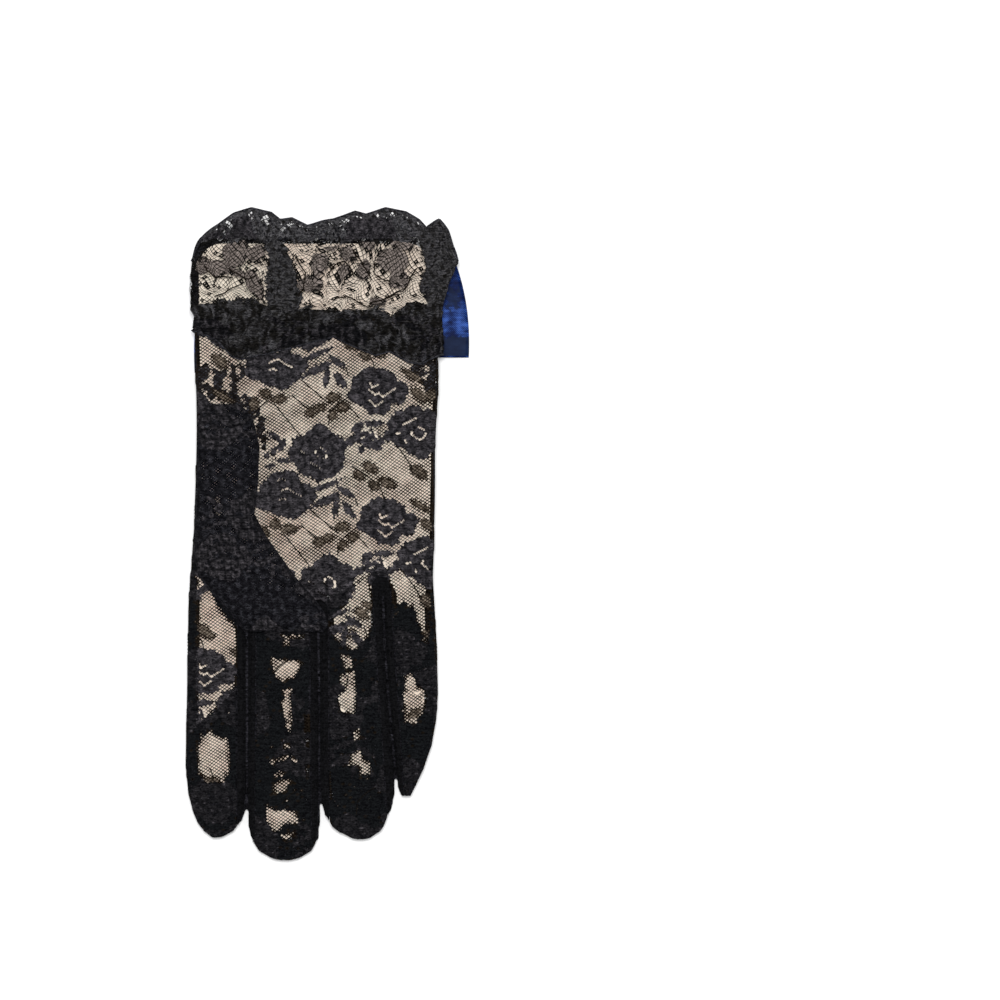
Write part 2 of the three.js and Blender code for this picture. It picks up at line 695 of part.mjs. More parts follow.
const glove = new THREE.Group();
for (const [name, solid] of Object.entries(handPieces())) {
  addPiece(glove, name, manifoldToGeometry(solid), name.startsWith('fourchette') ? TRICOT : LACE);
}
addPiece(glove, 'thumb', manifoldToGeometry(thumbPiece()), LACE);
addPiece(glove, 'wrist_ruffle', manifoldToGeometry(rufflePiece()), LACE);
for (const [name, loop] of Object.entries(LOOPS)) {
  addPiece(glove, `bow_loop_${name}`, manifoldToGeometry(loopPiece(loop)), SATIN);
}
addPiece(glove, 'bow_knot', manifoldToGeometry(knotPiece()), SATIN);

const card = addPiece(glove, 'card_form', cardPiece(), CARD);
card.rotation.x = Math.atan(MID_SLOPE);
card.position.z = midHeight(0) - CARD_THICK / 2;

// The origin is the middle of the bounding box, on the surface beneath.
const box = new THREE.Box3().setFromObject(glove, true);
const middle = box.getCenter(new THREE.Vector3());
glove.position.set(-middle.x, -middle.y, -box.min.z);

export default glove;
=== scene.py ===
"""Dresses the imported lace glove: real pierced lace on its hand, thumb and ruffle, knit strips, a satin bow and
the card form inside, lying on a white floor under soft light."""

import math

import bpy
import numpy as np
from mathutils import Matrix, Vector
from mathutils.bvhtree import BVHTree


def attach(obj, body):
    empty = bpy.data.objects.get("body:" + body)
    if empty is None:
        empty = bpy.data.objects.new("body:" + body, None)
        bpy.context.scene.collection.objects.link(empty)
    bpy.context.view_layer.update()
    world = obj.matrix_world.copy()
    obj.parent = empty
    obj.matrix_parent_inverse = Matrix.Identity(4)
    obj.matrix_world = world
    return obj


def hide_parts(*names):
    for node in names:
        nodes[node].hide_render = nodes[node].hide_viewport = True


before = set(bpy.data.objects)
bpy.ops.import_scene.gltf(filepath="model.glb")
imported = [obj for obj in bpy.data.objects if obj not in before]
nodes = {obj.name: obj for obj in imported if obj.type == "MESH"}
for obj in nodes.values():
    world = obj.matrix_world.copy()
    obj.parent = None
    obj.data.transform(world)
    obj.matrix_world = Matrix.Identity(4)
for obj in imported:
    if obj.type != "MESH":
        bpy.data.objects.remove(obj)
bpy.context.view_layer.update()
MM = 0.001

# The photo's pixels in the row's frame: a pixel's size in mm, and the pixel that lies over the origin
PIXEL = 0.35
ORIGIN_PX = (328.3, 534.1)


def to_mm(px, py):
    return (np.asarray(px, float) - ORIGIN_PX[0]) * PIXEL, (ORIGIN_PX[1] - np.asarray(py, float)) * PIXEL


def to_px(x, y):
    return np.asarray(x) / PIXEL + ORIGIN_PX[0], ORIGIN_PX[1] - np.asarray(y) / PIXEL


def smoothstep(low, high, value):
    t = np.clip((value - low) / (high - low), 0, 1)
    return t * t * (3 - 2 * t)


def smooth_noise(x, y, size, seed):
    """Smooth noise from about -1 to 1 over the plane, with features about as long as size."""
    local = np.random.default_rng(seed)
    total = np.zeros(np.broadcast(x, y).shape)
    for _ in range(9):
        angle = local.uniform(0, 2 * math.pi)
        wave = 2 * math.pi / (size * local.uniform(0.7, 1.9))
        phase = local.uniform(0, 2 * math.pi)
        total = total + np.sin(wave * (x * math.cos(angle) + y * math.sin(angle)) + phase)
    return total / 4.0


# Meshes


def make_mesh(name, points, faces, tones):
    """A smooth-shaded piece from points in mm, an array of faces and each face's tone."""
    points = np.asarray(points, float) * MM
    mesh = bpy.data.meshes.new(name)
    mesh.vertices.add(len(points))
    mesh.vertices.foreach_set("co", points.ravel())
    mesh.loops.add(faces.size)
    mesh.loops.foreach_set("vertex_index", faces.ravel().astype(np.int32))
    mesh.polygons.add(len(faces))
    mesh.polygons.foreach_set("loop_start", np.arange(0, faces.size, faces.shape[1], dtype=np.int32))
    mesh.update(calc_edges=True)
    mesh.polygons.foreach_set("use_smooth", np.full(len(faces), True))
    attribute = mesh.attributes.new("tone", "FLOAT", "FACE")
    attribute.data.foreach_set("value", np.asarray(tones, np.float32))
    obj = bpy.data.objects.new(name, mesh)
    bpy.context.scene.collection.objects.link(obj)
    return obj


def surface_area(obj):
    """A mesh's area in square metres."""
    areas = np.zeros(len(obj.data.polygons))
    obj.data.polygons.foreach_get("area", areas)
    return float(areas.sum())


# Surfaces of the CAD solids, as maps of height on a grid in mm

GRID = 0.5
GRID_LOW = (-52.0, -116.0)
GRID_SIZE = (209, 400)
FILL_ROUNDS = 14


def around(padded):
    """Each grid point's three by three values, from a grid that is padded by one."""
    rows, columns = GRID_SIZE
    return np.stack([padded[a:a + rows, b:b + columns] for a in range(3) for b in range(3)])


def box_blur(values, rounds):
    for _ in range(rounds):
        values = around(np.pad(values, 1, mode="edge")).sum(0) / 9
    return values


def fill_misses(heights):
    """Spreads the known heights outwards, a grid step a round, and then levels what is left."""
    for _ in range(FILL_ROUNDS):
        near = around(np.pad(heights, 1, constant_values=np.nan))
        known = ~np.isnan(near)
        counts = known.sum(0)
        mean = np.where(known, near, 0).sum(0) / np.maximum(counts, 1)
        heights = np.where(np.isnan(heights) & (counts > 0), mean, heights)
    return np.where(np.isnan(heights), np.nanmean(heights), heights)


def height_map(names, from_above=True, rounds=3):
    """Heights of the named nodes, filled past their edges and smoothed, and a soft map of where they are."""
    verts, faces = [], []
    for name in names:
        mesh = nodes[name].data
        base = len(verts)
        verts += [v.co.copy() for v in mesh.vertices]
        faces += [[base + i for i in p.vertices] for p in mesh.polygons]
    tree = BVHTree.FromPolygons(verts, faces)
    heights = np.full(GRID_SIZE, np.nan)
    start = 0.1 if from_above else -0.1
    direction = Vector((0, 0, -1 if from_above else 1))
    for i in range(GRID_SIZE[0]):
        x = (GRID_LOW[0] + i * GRID) * MM
        for j in range(GRID_SIZE[1]):
            hit = tree.ray_cast(Vector((x, (GRID_LOW[1] + j * GRID) * MM, start)), direction)
            if hit[0] is not None:
                heights[i, j] = hit[0].z / MM
    cover = box_blur((~np.isnan(heights)).astype(float), 2)
    return {"z": box_blur(fill_misses(heights), rounds), "cover": cover}


def bilinear(values, low, step, x, y):
    """A grid's values at places between its points. low is its first point and step its spacing."""
    fx = np.clip((x - low[0]) / step, 0, values.shape[0] - 1.001)
    fy = np.clip((y - low[1]) / step, 0, values.shape[1] - 1.001)
    i, j = fx.astype(int), fy.astype(int)
    a, b = fx - i, fy - j
    first = values[i, j] * (1 - a) + values[i + 1, j] * a
    second = values[i, j + 1] * (1 - a) + values[i + 1, j + 1] * a
    return first * (1 - b) + second * b


def sample(values, x, y):
    return bilinear(values, GRID_LOW, GRID, x, y)


CUT_LEVEL = 0.5  # a soft map's value on its outline
COVER_TO_MM = 1.8  # how far from its outline a soft map of cover takes to rise by 1
PULL = {"rounds": 6, "probe": 0.35, "move": 0.4, "reach": 1.3, "least_slope": 0.02}


def depth_inside(cover, x, y, level=CUT_LEVEL):
    """Distance in mm into a soft map's outline, from the line where it has the level."""
    return (sample(cover, x, y) - level) * COVER_TO_MM


def pull_inside(cover, x, y):
    """Moves points outside a map's outline back to it, at most PULL's reach, so that a cut edge is smooth."""
    new_x, new_y = x.copy(), y.copy()
    probe, move, reach = PULL["probe"], PULL["move"], PULL["reach"]
    for _ in range(PULL["rounds"]):
        value = sample(cover, new_x, new_y)
        slope_x = (sample(cover, new_x + probe, new_y) - sample(cover, new_x - probe, new_y)) / (2 * probe)
        slope_y = (sample(cover, new_x, new_y + probe) - sample(cover, new_x, new_y - probe)) / (2 * probe)
        steepness = np.maximum(slope_x ** 2 + slope_y ** 2, PULL["least_slope"])
        push = np.clip(CUT_LEVEL - value, 0, None) / steepness
        new_x = np.clip(new_x + np.clip(push * slope_x, -move, move), x - reach, x + reach)
        new_y = np.clip(new_y + np.clip(push * slope_y, -move, move), y - reach, y + reach)
    return new_x, new_y


def table(columns, rows):
    """Rows of numbers, each as a dictionary with the columns' names."""
    return [dict(zip(columns.split(), row)) for row in rows]


# Chart of one repeat of the lace, in the photo's pixels. The next repeats lie at REPEAT and ACROSS.

REPEAT = (9.0, 129.0)
ACROSS = (-188.0, 20.0)
ROSES = {
    "upper": [
        (353, 378), (359, 376), (363, 371), (371, 368), (379, 370), (386, 370), (390, 374), (396, 376),
        (398, 383), (405, 384), (411, 390), (407, 398), (405, 405), (398, 406), (393, 404), (391, 412),
        (384, 416), (377, 414), (371, 415), (366, 409), (358, 405), (351, 401), (347, 396), (353, 389),
    ],
    "right": [
        (393, 418), (397, 412), (404, 411), (412, 407), (419, 406), (423, 411), (430, 409), (436, 414),
        (440, 430), (440, 446), (436, 454), (430, 453), (428, 459), (421, 460), (415, 456), (410, 454),
        (406, 448), (399, 447), (393, 440), (389, 437), (391, 430), (388, 424),
    ],
    "middle": [
        (300, 437), (306, 436), (311, 430), (316, 426), (322, 424), (328, 427), (333, 433), (339, 435),
        (345, 439), (348, 446), (345, 453), (346, 461), (342, 470), (334, 476), (326, 478), (320, 482),
        (314, 478), (307, 476), (301, 474), (299, 466), (292, 461), (290, 452), (295, 446), (294, 440),
    ],
    "left": [
        (263, 484), (268, 478), (275, 473), (283, 472), (289, 470), (296, 472), (301, 476), (303, 483),
        (311, 484), (316, 490), (319, 496), (314, 503), (309, 509), (302, 515), (295, 520), (288, 517),
        (279, 516), (271, 511), (263, 510), (257, 505), (257, 494),
    ],
}
# Open dashes between the petals, as strokes
DASHES = [
    [(371, 384), (373, 389), (379, 386)],
    [(370, 391), (376, 396), (380, 394), (384, 398), (390, 394)],
    [(392, 393), (396, 390)],
    [(370, 401), (377, 407), (384, 402)],
    [(405, 425), (411, 422), (418, 418)],
    [(398, 434), (402, 433)],
    [(414, 431), (413, 434), (417, 437), (421, 440), (425, 438), (427, 433)],
    [(420, 427), (425, 430)],
    [(407, 440), (408, 443)],
    [(369, 431), (372, 433)],
    [(376, 432), (377, 436), (380, 440)],
    [(362, 439), (366, 437)],
]
# Dashes that are nearly drawn shut in the first repeat, and open in the others
DRAWN_DASHES = [
    [(302, 451), (307, 454)],
    [(318, 449), (317, 453), (320, 457)],
    [(327, 451), (328, 457), (325, 458)],
    [(321, 447), (325, 449)],
    [(311, 462), (317, 465), (322, 468)],
    [(278, 482), (283, 478), (289, 482)],
    [(281, 493), (285, 490), (290, 489), (296, 493), (303, 496)],
    [(281, 500), (285, 498), (288, 500)],
]
# Leaves and twigs: middle, half length, half width and turn in degrees, anticlockwise as the photo shows them
LEAVES = table("x y long wide turn", [
    (334, 398, 7.5, 5.0, 0), (312, 413, 5.5, 5.0, 0), (320, 409, 7.0, 4.0, 20), (334, 416, 5.5, 5.0, 70),
    (345, 408, 6.5, 5.0, 20), (268, 395, 6.0, 5.0, 0), (282, 400, 9.0, 4.5, 4), (256, 405, 7.0, 5.5, 70),
    (371, 468, 8.5, 5.0, -28), (360, 476, 7.0, 4.0, -28), (388, 483, 9.0, 5.0, -22),
    (375, 486, 6.5, 4.5, -28), (419, 472, 10.0, 5.5, -38), (413, 377, 12.0, 3.6, -30),
    (420, 396, 11.0, 4.6, -36), (432, 396, 6.0, 6.0, 0),
])
# Sprays between the roses: the dark leaves of a twig and of a small open flower, as the leaves above
SPRAYS = table("x y long wide turn", [
    (318, 371, 9.5, 4.4, 20), (328, 378, 10.5, 3.0, 84), (341, 381, 10.0, 3.8, -52),
    (338, 363, 9.5, 3.4, -33), (318, 356, 17.0, 2.6, 20), (309, 375, 9.0, 1.6, 40),
    (327, 366, 6.0, 3.0, 10), (359, 428, 7.0, 4.5, 40), (352, 441, 8.5, 4.0, 28), (363, 438, 8.0, 6.0, 0),
    (371, 435, 6.5, 5.5, 0), (374, 446, 9.5, 4.2, -20), (375, 424, 11.0, 3.2, 4),
    (389, 436, 6.0, 4.0, 80), (380, 441, 7.0, 4.5, 0), (363, 449, 6.0, 3.0, 60), (284, 446, 6.5, 4.0, 60),
    (277, 438, 7.0, 3.2, -30), (276, 452, 5.0, 3.0, 80), (287, 461, 10.0, 2.4, -4),
    (269, 456, 4.0, 2.4, 50), (272, 466, 5.0, 2.2, 10),
])
# Leaves that show once
SINGLE_LEAVES = table("x y long wide turn", [
    (203, 627, 7.0, 3.8, 0), (213, 780, 9.0, 4.2, 0), (289, 683, 8.0, 3.6, 10), (224, 363, 6.0, 2.4, 0),
    (362, 612, 8.0, 4.6, -35), (350, 632, 8.0, 5.0, 10), (415, 712, 8.0, 4.5, 35),
])
# Cloth that lies doubled at the palm's two edges under the heading, and wrinkled over the thumb's root
EDGE_PATCHES = {
    "thumb_root": [
        (192, 384), (214, 380), (236, 384), (256, 398), (268, 418), (272, 446), (262, 452), (256, 430),
        (246, 412), (230, 402), (208, 400), (192, 402),
    ],
    "left": [
        (190, 367), (210, 366), (224, 371), (238, 364), (246, 362), (249, 374), (241, 384), (228, 380),
        (216, 385), (190, 392),
    ],
    "right": [
        (401, 338), (446, 338), (446, 402), (431, 399), (421, 388), (412, 376), (407, 366),
    ],
}
STEMS = [
    [(303, 381), (315, 391), (330, 404)],
    [(352, 397), (343, 402), (335, 409), (331, 414)],
    [(271, 401), (262, 408), (256, 415)],
    [(294, 396), (304, 405), (311, 410)],
    [(276, 404), (284, 414), (302, 436)],
    [(353, 466), (361, 471), (369, 476), (377, 484)],
    [(381, 488), (384, 494), (385, 502)],
    [(356, 497), (359, 506)],
    [(331, 416), (330, 426)],
    [(345, 404), (353, 410), (361, 419)],
    [(391, 438), (404, 454), (414, 470)],
]
# Bare middles of the fingers, where the card shows. The repeat's roses and leaves cross the patterned ones.
PATTERNED_WINDOWS = [
    [(199, 545), (212, 588), (222, 608), (238, 625), (249, 640), (240, 668), (237, 688), (215, 712),
     (199, 722)],
    [(328, 622), (346, 604), (350, 588), (372, 572), (374, 588), (374, 620), (370, 634), (356, 650),
     (340, 642)],
    [(389, 545), (425, 545), (433, 580), (432, 612), (429, 648), (420, 625), (414, 608), (404, 602),
     (389, 606)],
]
PLAIN_WINDOWS = [
    [(199, 742), (204, 733), (212, 729), (222, 737), (229, 738), (231, 750), (231, 768), (225, 782),
     (207, 782), (199, 766)],
    [(247, 785), (247, 800), (243, 814), (237, 823), (235, 820), (241, 810), (244, 798), (244, 786)],
    [(280, 634), (292, 633), (306, 634), (305, 638), (290, 638), (290, 645), (283, 644), (285, 638)],
    [(271, 654), (281, 658), (297, 659), (305, 662), (298, 672), (286, 682), (276, 676)],
    [(284, 688), (293, 686), (293, 728), (288, 733), (284, 702)],
    [(283, 742), (290, 742), (290, 748), (284, 748)],
    [(306, 712), (311, 714), (312, 732), (305, 732)],
    [(306, 737), (311, 738), (310, 749), (307, 748)],
    [(307, 763), (311, 763), (310, 776), (308, 776)],
    [(269, 760), (281, 755), (291, 752), (298, 759), (296, 763), (290, 757), (280, 760), (271, 764)],
    [(272, 774), (281, 768), (289, 775), (285, 776), (281, 772), (275, 777)],
    [(274, 787), (275, 781), (284, 777), (291, 777), (296, 782), (290, 783), (285, 792), (277, 792)],
    [(267, 804), (276, 808), (297, 810), (299, 823), (290, 822), (284, 824), (280, 832), (274, 830),
     (267, 820)],
    [(281, 833), (290, 833), (296, 829), (297, 838), (286, 840)],
    [(341, 653), (353, 657), (354, 666), (345, 668)],
    [(338, 680), (345, 671), (356, 669), (357, 690), (357, 713), (340, 711), (339, 695), (347, 686)],
    [(353, 731), (359, 727), (362, 737), (355, 739)],
    [(352, 752), (362, 748), (363, 758), (372, 762), (371, 773), (363, 776), (358, 764), (350, 764)],
    [(328, 766), (332, 774), (335, 788), (333, 801), (329, 792)],
    [(405, 674), (412, 672), (418, 684), (425, 688), (428, 700), (424, 712), (416, 723), (405, 720),
     (403, 700)],
]
FOLD_TOP = [(180, 552), (200, 556), (320, 604), (372, 574), (376, 570), (389, 570), (440, 552)]

# Distance maps of the chart, in pixels: positive inside, worked out once on a fine raster

RASTER_LOW = (180.0, 330.0)
RASTER_STEP = 0.5
RASTER_SIZE = (540, 1080)
raster_x, raster_y = np.meshgrid(
    RASTER_LOW[0] + RASTER_STEP * np.arange(RASTER_SIZE[0]),
    RASTER_LOW[1] + RASTER_STEP * np.arange(RASTER_SIZE[1]),
    indexing="ij",
)


def sample_raster(values, px, py):
    return bilinear(values, RASTER_LOW, RASTER_STEP, px, py)


def line_distance(px, py, points):
    """Distance to a line through the points."""
    best = np.full(px.shape, np.inf)
    for (ax, ay), (bx, by) in zip(points[:-1], points[1:]):
        dx, dy = bx - ax, by - ay
        t = np.clip(((px - ax) * dx + (py - ay) * dy) / (dx * dx + dy * dy), 0, 1)
        best = np.minimum(best, np.hypot(px - ax - t * dx, py - ay - t * dy))
    return best


def outline_distance(px, py, outline):
    """Distance to a closed outline, positive inside."""
    closed = list(outline) + [outline[0]]
    inside = np.zeros(px.shape, bool)
    for (ax, ay), (bx, by) in zip(closed[:-1], closed[1:]):
        if ay != by:
            crossing = (py < ay) != (py < by)
            inside ^= crossing & (px < ax + (py - ay) * (bx - ax) / (by - ay))
    distance = line_distance(px, py, closed)
    return np.where(inside, distance, -distance)


LEAF_POWER = 1.7  # below 2 an oval's ends are pointed, and above 2 they are blunt
PETAL_POWER = 2.3


def leaf_distance(px, py, leaf, power=LEAF_POWER):
    """Roughly the distance to a leaf's oval, positive inside."""
    turn = math.radians(leaf["turn"])
    ax, ay = px - leaf["x"], leaf["y"] - py
    u = np.abs(ax * math.cos(turn) + ay * math.sin(turn)) / leaf["long"]
    v = np.abs(ay * math.cos(turn) - ax * math.sin(turn)) / leaf["wide"]
    return (1 - (u ** power + v ** power) ** (1 / power)) * leaf["wide"]


def shape_box(points, margin=8):
    xs, ys = [p[0] for p in points], [p[1] for p in points]
    return min(xs) - margin, min(ys) - margin, max(xs) + margin, max(ys) + margin


def raise_to(raster, box, function):
    """Raises a raster to a shape's distance inside a box. The shape is only worked out there."""
    i0, j0 = (max(0, int((box[k] - RASTER_LOW[k]) / RASTER_STEP)) for k in (0, 1))
    i1, j1 = (min(RASTER_SIZE[k], int((box[k + 2] - RASTER_LOW[k]) / RASTER_STEP) + 1) for k in (0, 1))
    if i0 < i1 and j0 < j1:
        view = raster[i0:i1, j0:j1]
        np.maximum(view, function(raster_x[i0:i1, j0:j1], raster_y[i0:i1, j0:j1]), out=view)


def raise_outline(raster, outline):
    raise_to(raster, shape_box(outline), lambda px, py: outline_distance(px, py, outline))


def raise_leaf(raster, leaf, shift=(0, 0)):
    moved = {**leaf, "x": leaf["x"] + shift[0], "y": leaf["y"] + shift[1]}
    box = shape_box([(moved["x"], moved["y"])], leaf["long"] + 6)
    raise_to(raster, box, lambda px, py: leaf_distance(px, py, moved))


# Petals of a rose: rings of them round its middle, each at a share of its half width and height
PETAL_RINGS = [{"share": 0.74, "count": 8, "phase": 0.3}, {"share": 0.36, "count": 5, "phase": 0.9}]


def crease_nearness(px, py, outline):
    """How near the creases between a rose's petals are: 0 on a crease, and less away from it."""
    xs, ys = [p[0] for p in outline], [p[1] for p in outline]
    middle = (sum(xs) / len(xs), sum(ys) / len(ys))
    half = ((max(xs) - min(xs)) / 2, (max(ys) - min(ys)) / 2)
    first = second = np.full(px.shape, np.inf)
    for ring in PETAL_RINGS:
        for k in range(ring["count"]):
            angle = ring["phase"] + 2 * math.pi * k / ring["count"]
            away_x = px - middle[0] - ring["share"] * half[0] * math.cos(angle)
            away = np.hypot(away_x, py - middle[1] - ring["share"] * half[1] * math.sin(angle))
            second = np.minimum(second, np.maximum(first, away))
            first = np.minimum(first, away)
    return np.where(outline_distance(px, py, outline) > -2, (first - second) / 2, FAR)


def shifted(points, shift):
    return [(x + shift[0], y + shift[1]) for x, y in points]


def repeats():
    for k in range(-2, 4):
        for h in range(2):
            yield k * REPEAT[0] + h * ACROSS[0], k * REPEAT[1] + h * ACROSS[1]


FAR = -30.0
DASH_HALF = 1.05
DRAWN_HALF = 0.85
rose_map, leaf_map, dash_map, crease_map = (np.full(RASTER_SIZE, FAR) for _ in range(4))
window_map, plain_map, edge_map = (np.full(RASTER_SIZE, FAR) for _ in range(3))
for shift in repeats():
    for outline in ROSES.values():
        moved = shifted(outline, shift)
        raise_outline(rose_map, moved)
        raise_to(crease_map, shape_box(moved), lambda px, py: crease_nearness(px, py, moved))
    for leaf in LEAVES:
        raise_leaf(leaf_map, leaf, shift)
    for leaf in SPRAYS:
        raise_leaf(rose_map, leaf, shift)
    for dash in DASHES + DRAWN_DASHES:
        moved = shifted(dash, shift)
        half = DRAWN_HALF if dash in DRAWN_DASHES and shift == (0, 0) else DASH_HALF
        raise_to(dash_map, shape_box(moved), lambda px, py: half - line_distance(px, py, moved))
for outline in PATTERNED_WINDOWS + PLAIN_WINDOWS:
    raise_outline(window_map, outline)
for outline in PLAIN_WINDOWS:
    raise_outline(plain_map, outline)
for outline in EDGE_PATCHES.values():
    raise_outline(edge_map, outline)
whole_rose_map = np.minimum(rose_map, -dash_map)
rose_map = np.where(plain_map > 0, FAR, rose_map)
leaf_map = np.where(plain_map > 0, FAR, leaf_map)
for leaf in SINGLE_LEAVES:
    raise_leaf(leaf_map, leaf)
ragged = 1.2 * smooth_noise(raster_x, raster_y, 4.2, 3) + 0.8 * smooth_noise(raster_x, raster_y, 2.2, 4)
rose_map = np.minimum(rose_map + ragged, -dash_map)
leaf_map = np.where(rose_map > 0, FAR, np.minimum(leaf_map + 0.7 * ragged, -dash_map))
cloth_map = np.maximum(rose_map, leaf_map)

# Net: its two rows of threads, as steps in mm from one hole to the next


def thread_step(pixels, degrees):
    turn = math.radians(degrees)
    return pixels * PIXEL * np.array([math.cos(turn), math.sin(turn)])


NET_A = thread_step(2.65, -31)
NET_B = thread_step(2.85, 42)
NET_HOLE = 0.72  # a hole's width as a share of its cell's
SHUT_BELOW = 0.08  # a smaller hole is left shut
LEFT_OUT_ABOVE = 0.97  # a cell with a larger hole is left out
KEY = 20000  # more than the corners in a row, so that a corner's two steps make one whole number


def net_cells(low, high, pitch):
    """Whole-number steps of the net's cells over a box in mm, and their middles."""
    basis = np.array([NET_A, NET_B]).T * pitch
    corners = np.array([[low[0], low[1]], [high[0], low[1]], [low[0], high[1]], [high[0], high[1]]])
    steps = np.linalg.inv(basis) @ corners.T
    i0, j0 = np.floor(steps.min(1)).astype(int) - 1
    i1, j1 = np.ceil(steps.max(1)).astype(int) + 1
    i, j = np.meshgrid(np.arange(i0, i1), np.arange(j0, j1), indexing="ij")
    i, j = i.ravel(), j.ravel()
    x, y = basis @ np.array([i, j])
    keep = (x > low[0]) & (x < high[0]) & (y > low[1]) & (y < high[1])
    return i[keep], j[keep], x[keep], y[keep], basis


def net_sheet(name, low, high, inside, holes, place, pitch=1.0):
    """A net with real holes. inside says which cells' middles are cloth, holes gives each cell's hole as a
    share of the cell and its tone, and place puts flat points in space."""
    i, j, x, y, basis = net_cells(low, high, pitch)
    keep = inside(x, y)
    i, j, x, y = i[keep], j[keep], x[keep], y[keep]
    hole, tone = holes(x, y)
    keep = hole < LEFT_OUT_ABOVE
    i, j, x, y, hole, tone = (values[keep] for values in (i, j, x, y, hole, tone))
    corner = np.array([[0, 0], [1, 0], [1, 1], [0, 1]])
    key = (i[:, None] + corner[:, 0] + KEY // 2) * KEY + j[:, None] + corner[:, 1] + KEY // 2
    unique, index = np.unique(key.ravel(), return_inverse=True)
    index = index.reshape(-1, 4)
    outer_x, outer_y = basis @ np.array([unique // KEY - KEY // 2 - 0.5, unique % KEY - KEY // 2 - 0.5])
    opened = hole > SHUT_BELOW
    offsets = basis @ (corner - 0.5).T
    inner_x = x[opened, None] + offsets[0] * hole[opened, None]
    inner_y = y[opened, None] + offsets[1] * hole[opened, None]
    points = place(np.concatenate([outer_x, inner_x.ravel()]), np.concatenate([outer_y, inner_y.ravel()]))
    inner = len(unique) + np.arange(inner_x.size).reshape(-1, 4)
    outer = index[opened]
    quads, tones = [index[~opened]], [tone[~opened]]
    for k in range(4):
        n = (k + 1) % 4
        quads.append(np.stack([outer[:, k], outer[:, n], inner[:, n], inner[:, k]], 1))
        tones.append(tone[opened])
    return make_mesh(name, points, np.concatenate(quads), np.concatenate(tones))


def patch_sheet(name, low, high, step, field, place, tone):
    """A fine sheet where a field over the plane is positive. Its edge follows the field's zero line."""
    x, y = np.meshgrid(np.arange(low[0], high[0], step), np.arange(low[1], high[1], step), indexing="ij")
    f = field(x, y)
    inside = f > 0
    slope_x, slope_y = np.gradient(f, step)
    steep = np.maximum(np.hypot(slope_x, slope_y), 0.3)
    move = np.where(inside, 0, np.clip(-f / steep, 0, 1.2 * step)) / steep
    edge_x, edge_y = x + move * slope_x, y + move * slope_y
    any_inside = inside[:-1, :-1] | inside[1:, :-1] | inside[1:, 1:] | inside[:-1, 1:]
    number = np.arange(x.size).reshape(x.shape)
    quads = np.stack([number[:-1, :-1], number[1:, :-1], number[1:, 1:], number[:-1, 1:]], -1)[any_inside]
    used, index = np.unique(quads.ravel(), return_inverse=True)
    quads = index.reshape(-1, 4)
    flat_x, flat_y = edge_x.ravel()[used], edge_y.ravel()[used]
    tones = tone(flat_x[quads].mean(1), flat_y[quads].mean(1))
    return make_mesh(name, place(flat_x, flat_y), quads, tones)


# Materials


def node_material(name, roughness, specular):
    material = bpy.data.materials.new(name)
    material.use_nodes = True
    tree = material.node_tree
    shader = tree.nodes["Principled BSDF"]
    shader.inputs["Roughness"].default_value = roughness
    shader.inputs["Specular IOR Level"].default_value = specular
    return material, tree, shader


def texture(tree, kind, scale, vector, **inputs):
    node = tree.nodes.new(kind)
    node.inputs["Scale"].default_value = scale
    for key, value in inputs.items():
        node.inputs[key.replace("_", " ")].default_value = value
    tree.links.new(vector, node.inputs["Vector"])
    return node


def object_coords(tree, scale=(1, 1, 1)):
    coords = tree.nodes.new("ShaderNodeTexCoord")
    mapping = tree.nodes.new("ShaderNodeMapping")
    mapping.inputs["Scale"].default_value = scale
    tree.links.new(coords.outputs["Object"], mapping.inputs["Vector"])
    return mapping.outputs["Vector"]


def ramp(tree, source, stops):
    node = tree.nodes.new("ShaderNodeValToRGB")
    tree.links.new(source, node.inputs["Fac"])
    elements = node.color_ramp.elements
    while len(elements) < len(stops):
        elements.new(0.5)
    for element, (place, color) in zip(elements, stops):
        element.position = place
        element.color = (*color, 1)
    return node.outputs["Color"]


def mix_values(tree, share, first, second):
    node = tree.nodes.new("ShaderNodeMix")
    node.data_type = "FLOAT"
    node.inputs[0].default_value = share
    tree.links.new(first, node.inputs[2])
    tree.links.new(second, node.inputs[3])
    return node.outputs[0]


def mix_by_tone(tree, first, second):
    """The first colour where the face value named tone is 0, and the second where it is 1."""
    tone = tree.nodes.new("ShaderNodeAttribute")
    tone.attribute_name = "tone"
    node = tree.nodes.new("ShaderNodeMix")
    node.data_type = "RGBA"
    tree.links.new(tone.outputs["Fac"], node.inputs[0])
    tree.links.new(first, node.inputs[6])
    tree.links.new(second, node.inputs[7])
    return node.outputs[2]


def bump(tree, shader, source, distance, strength):
    node = tree.nodes.new("ShaderNodeBump")
    node.inputs["Strength"].default_value = strength
    node.inputs["Distance"].default_value = distance
    tree.links.new(source, node.inputs["Height"])
    tree.links.new(node.outputs["Normal"], shader.inputs["Normal"])


YARN_STOPS = (0.38, 0.64)  # the heights of yarn that have its dark and its light colour
CARD_STOPS = [(0.35, (0.84, 0.68, 0.56)), (0.5, (0.88, 0.76, 0.64)), (0.65, (0.88, 0.79, 0.66))]
# BLUE_STOPS are painted sheen: the satin's blue from near-black painted shade to a bright painted highlight
BLUE_STOPS = [(0.41, (0.0005, 0.002, 0.02)), (0.52, (0.002, 0.011, 0.07)), (0.66, (0.04, 0.10, 0.38))]
NAVY_STOPS = [(0.3, (0.001, 0.004, 0.018)), (0.7, (0.010, 0.020, 0.060))]


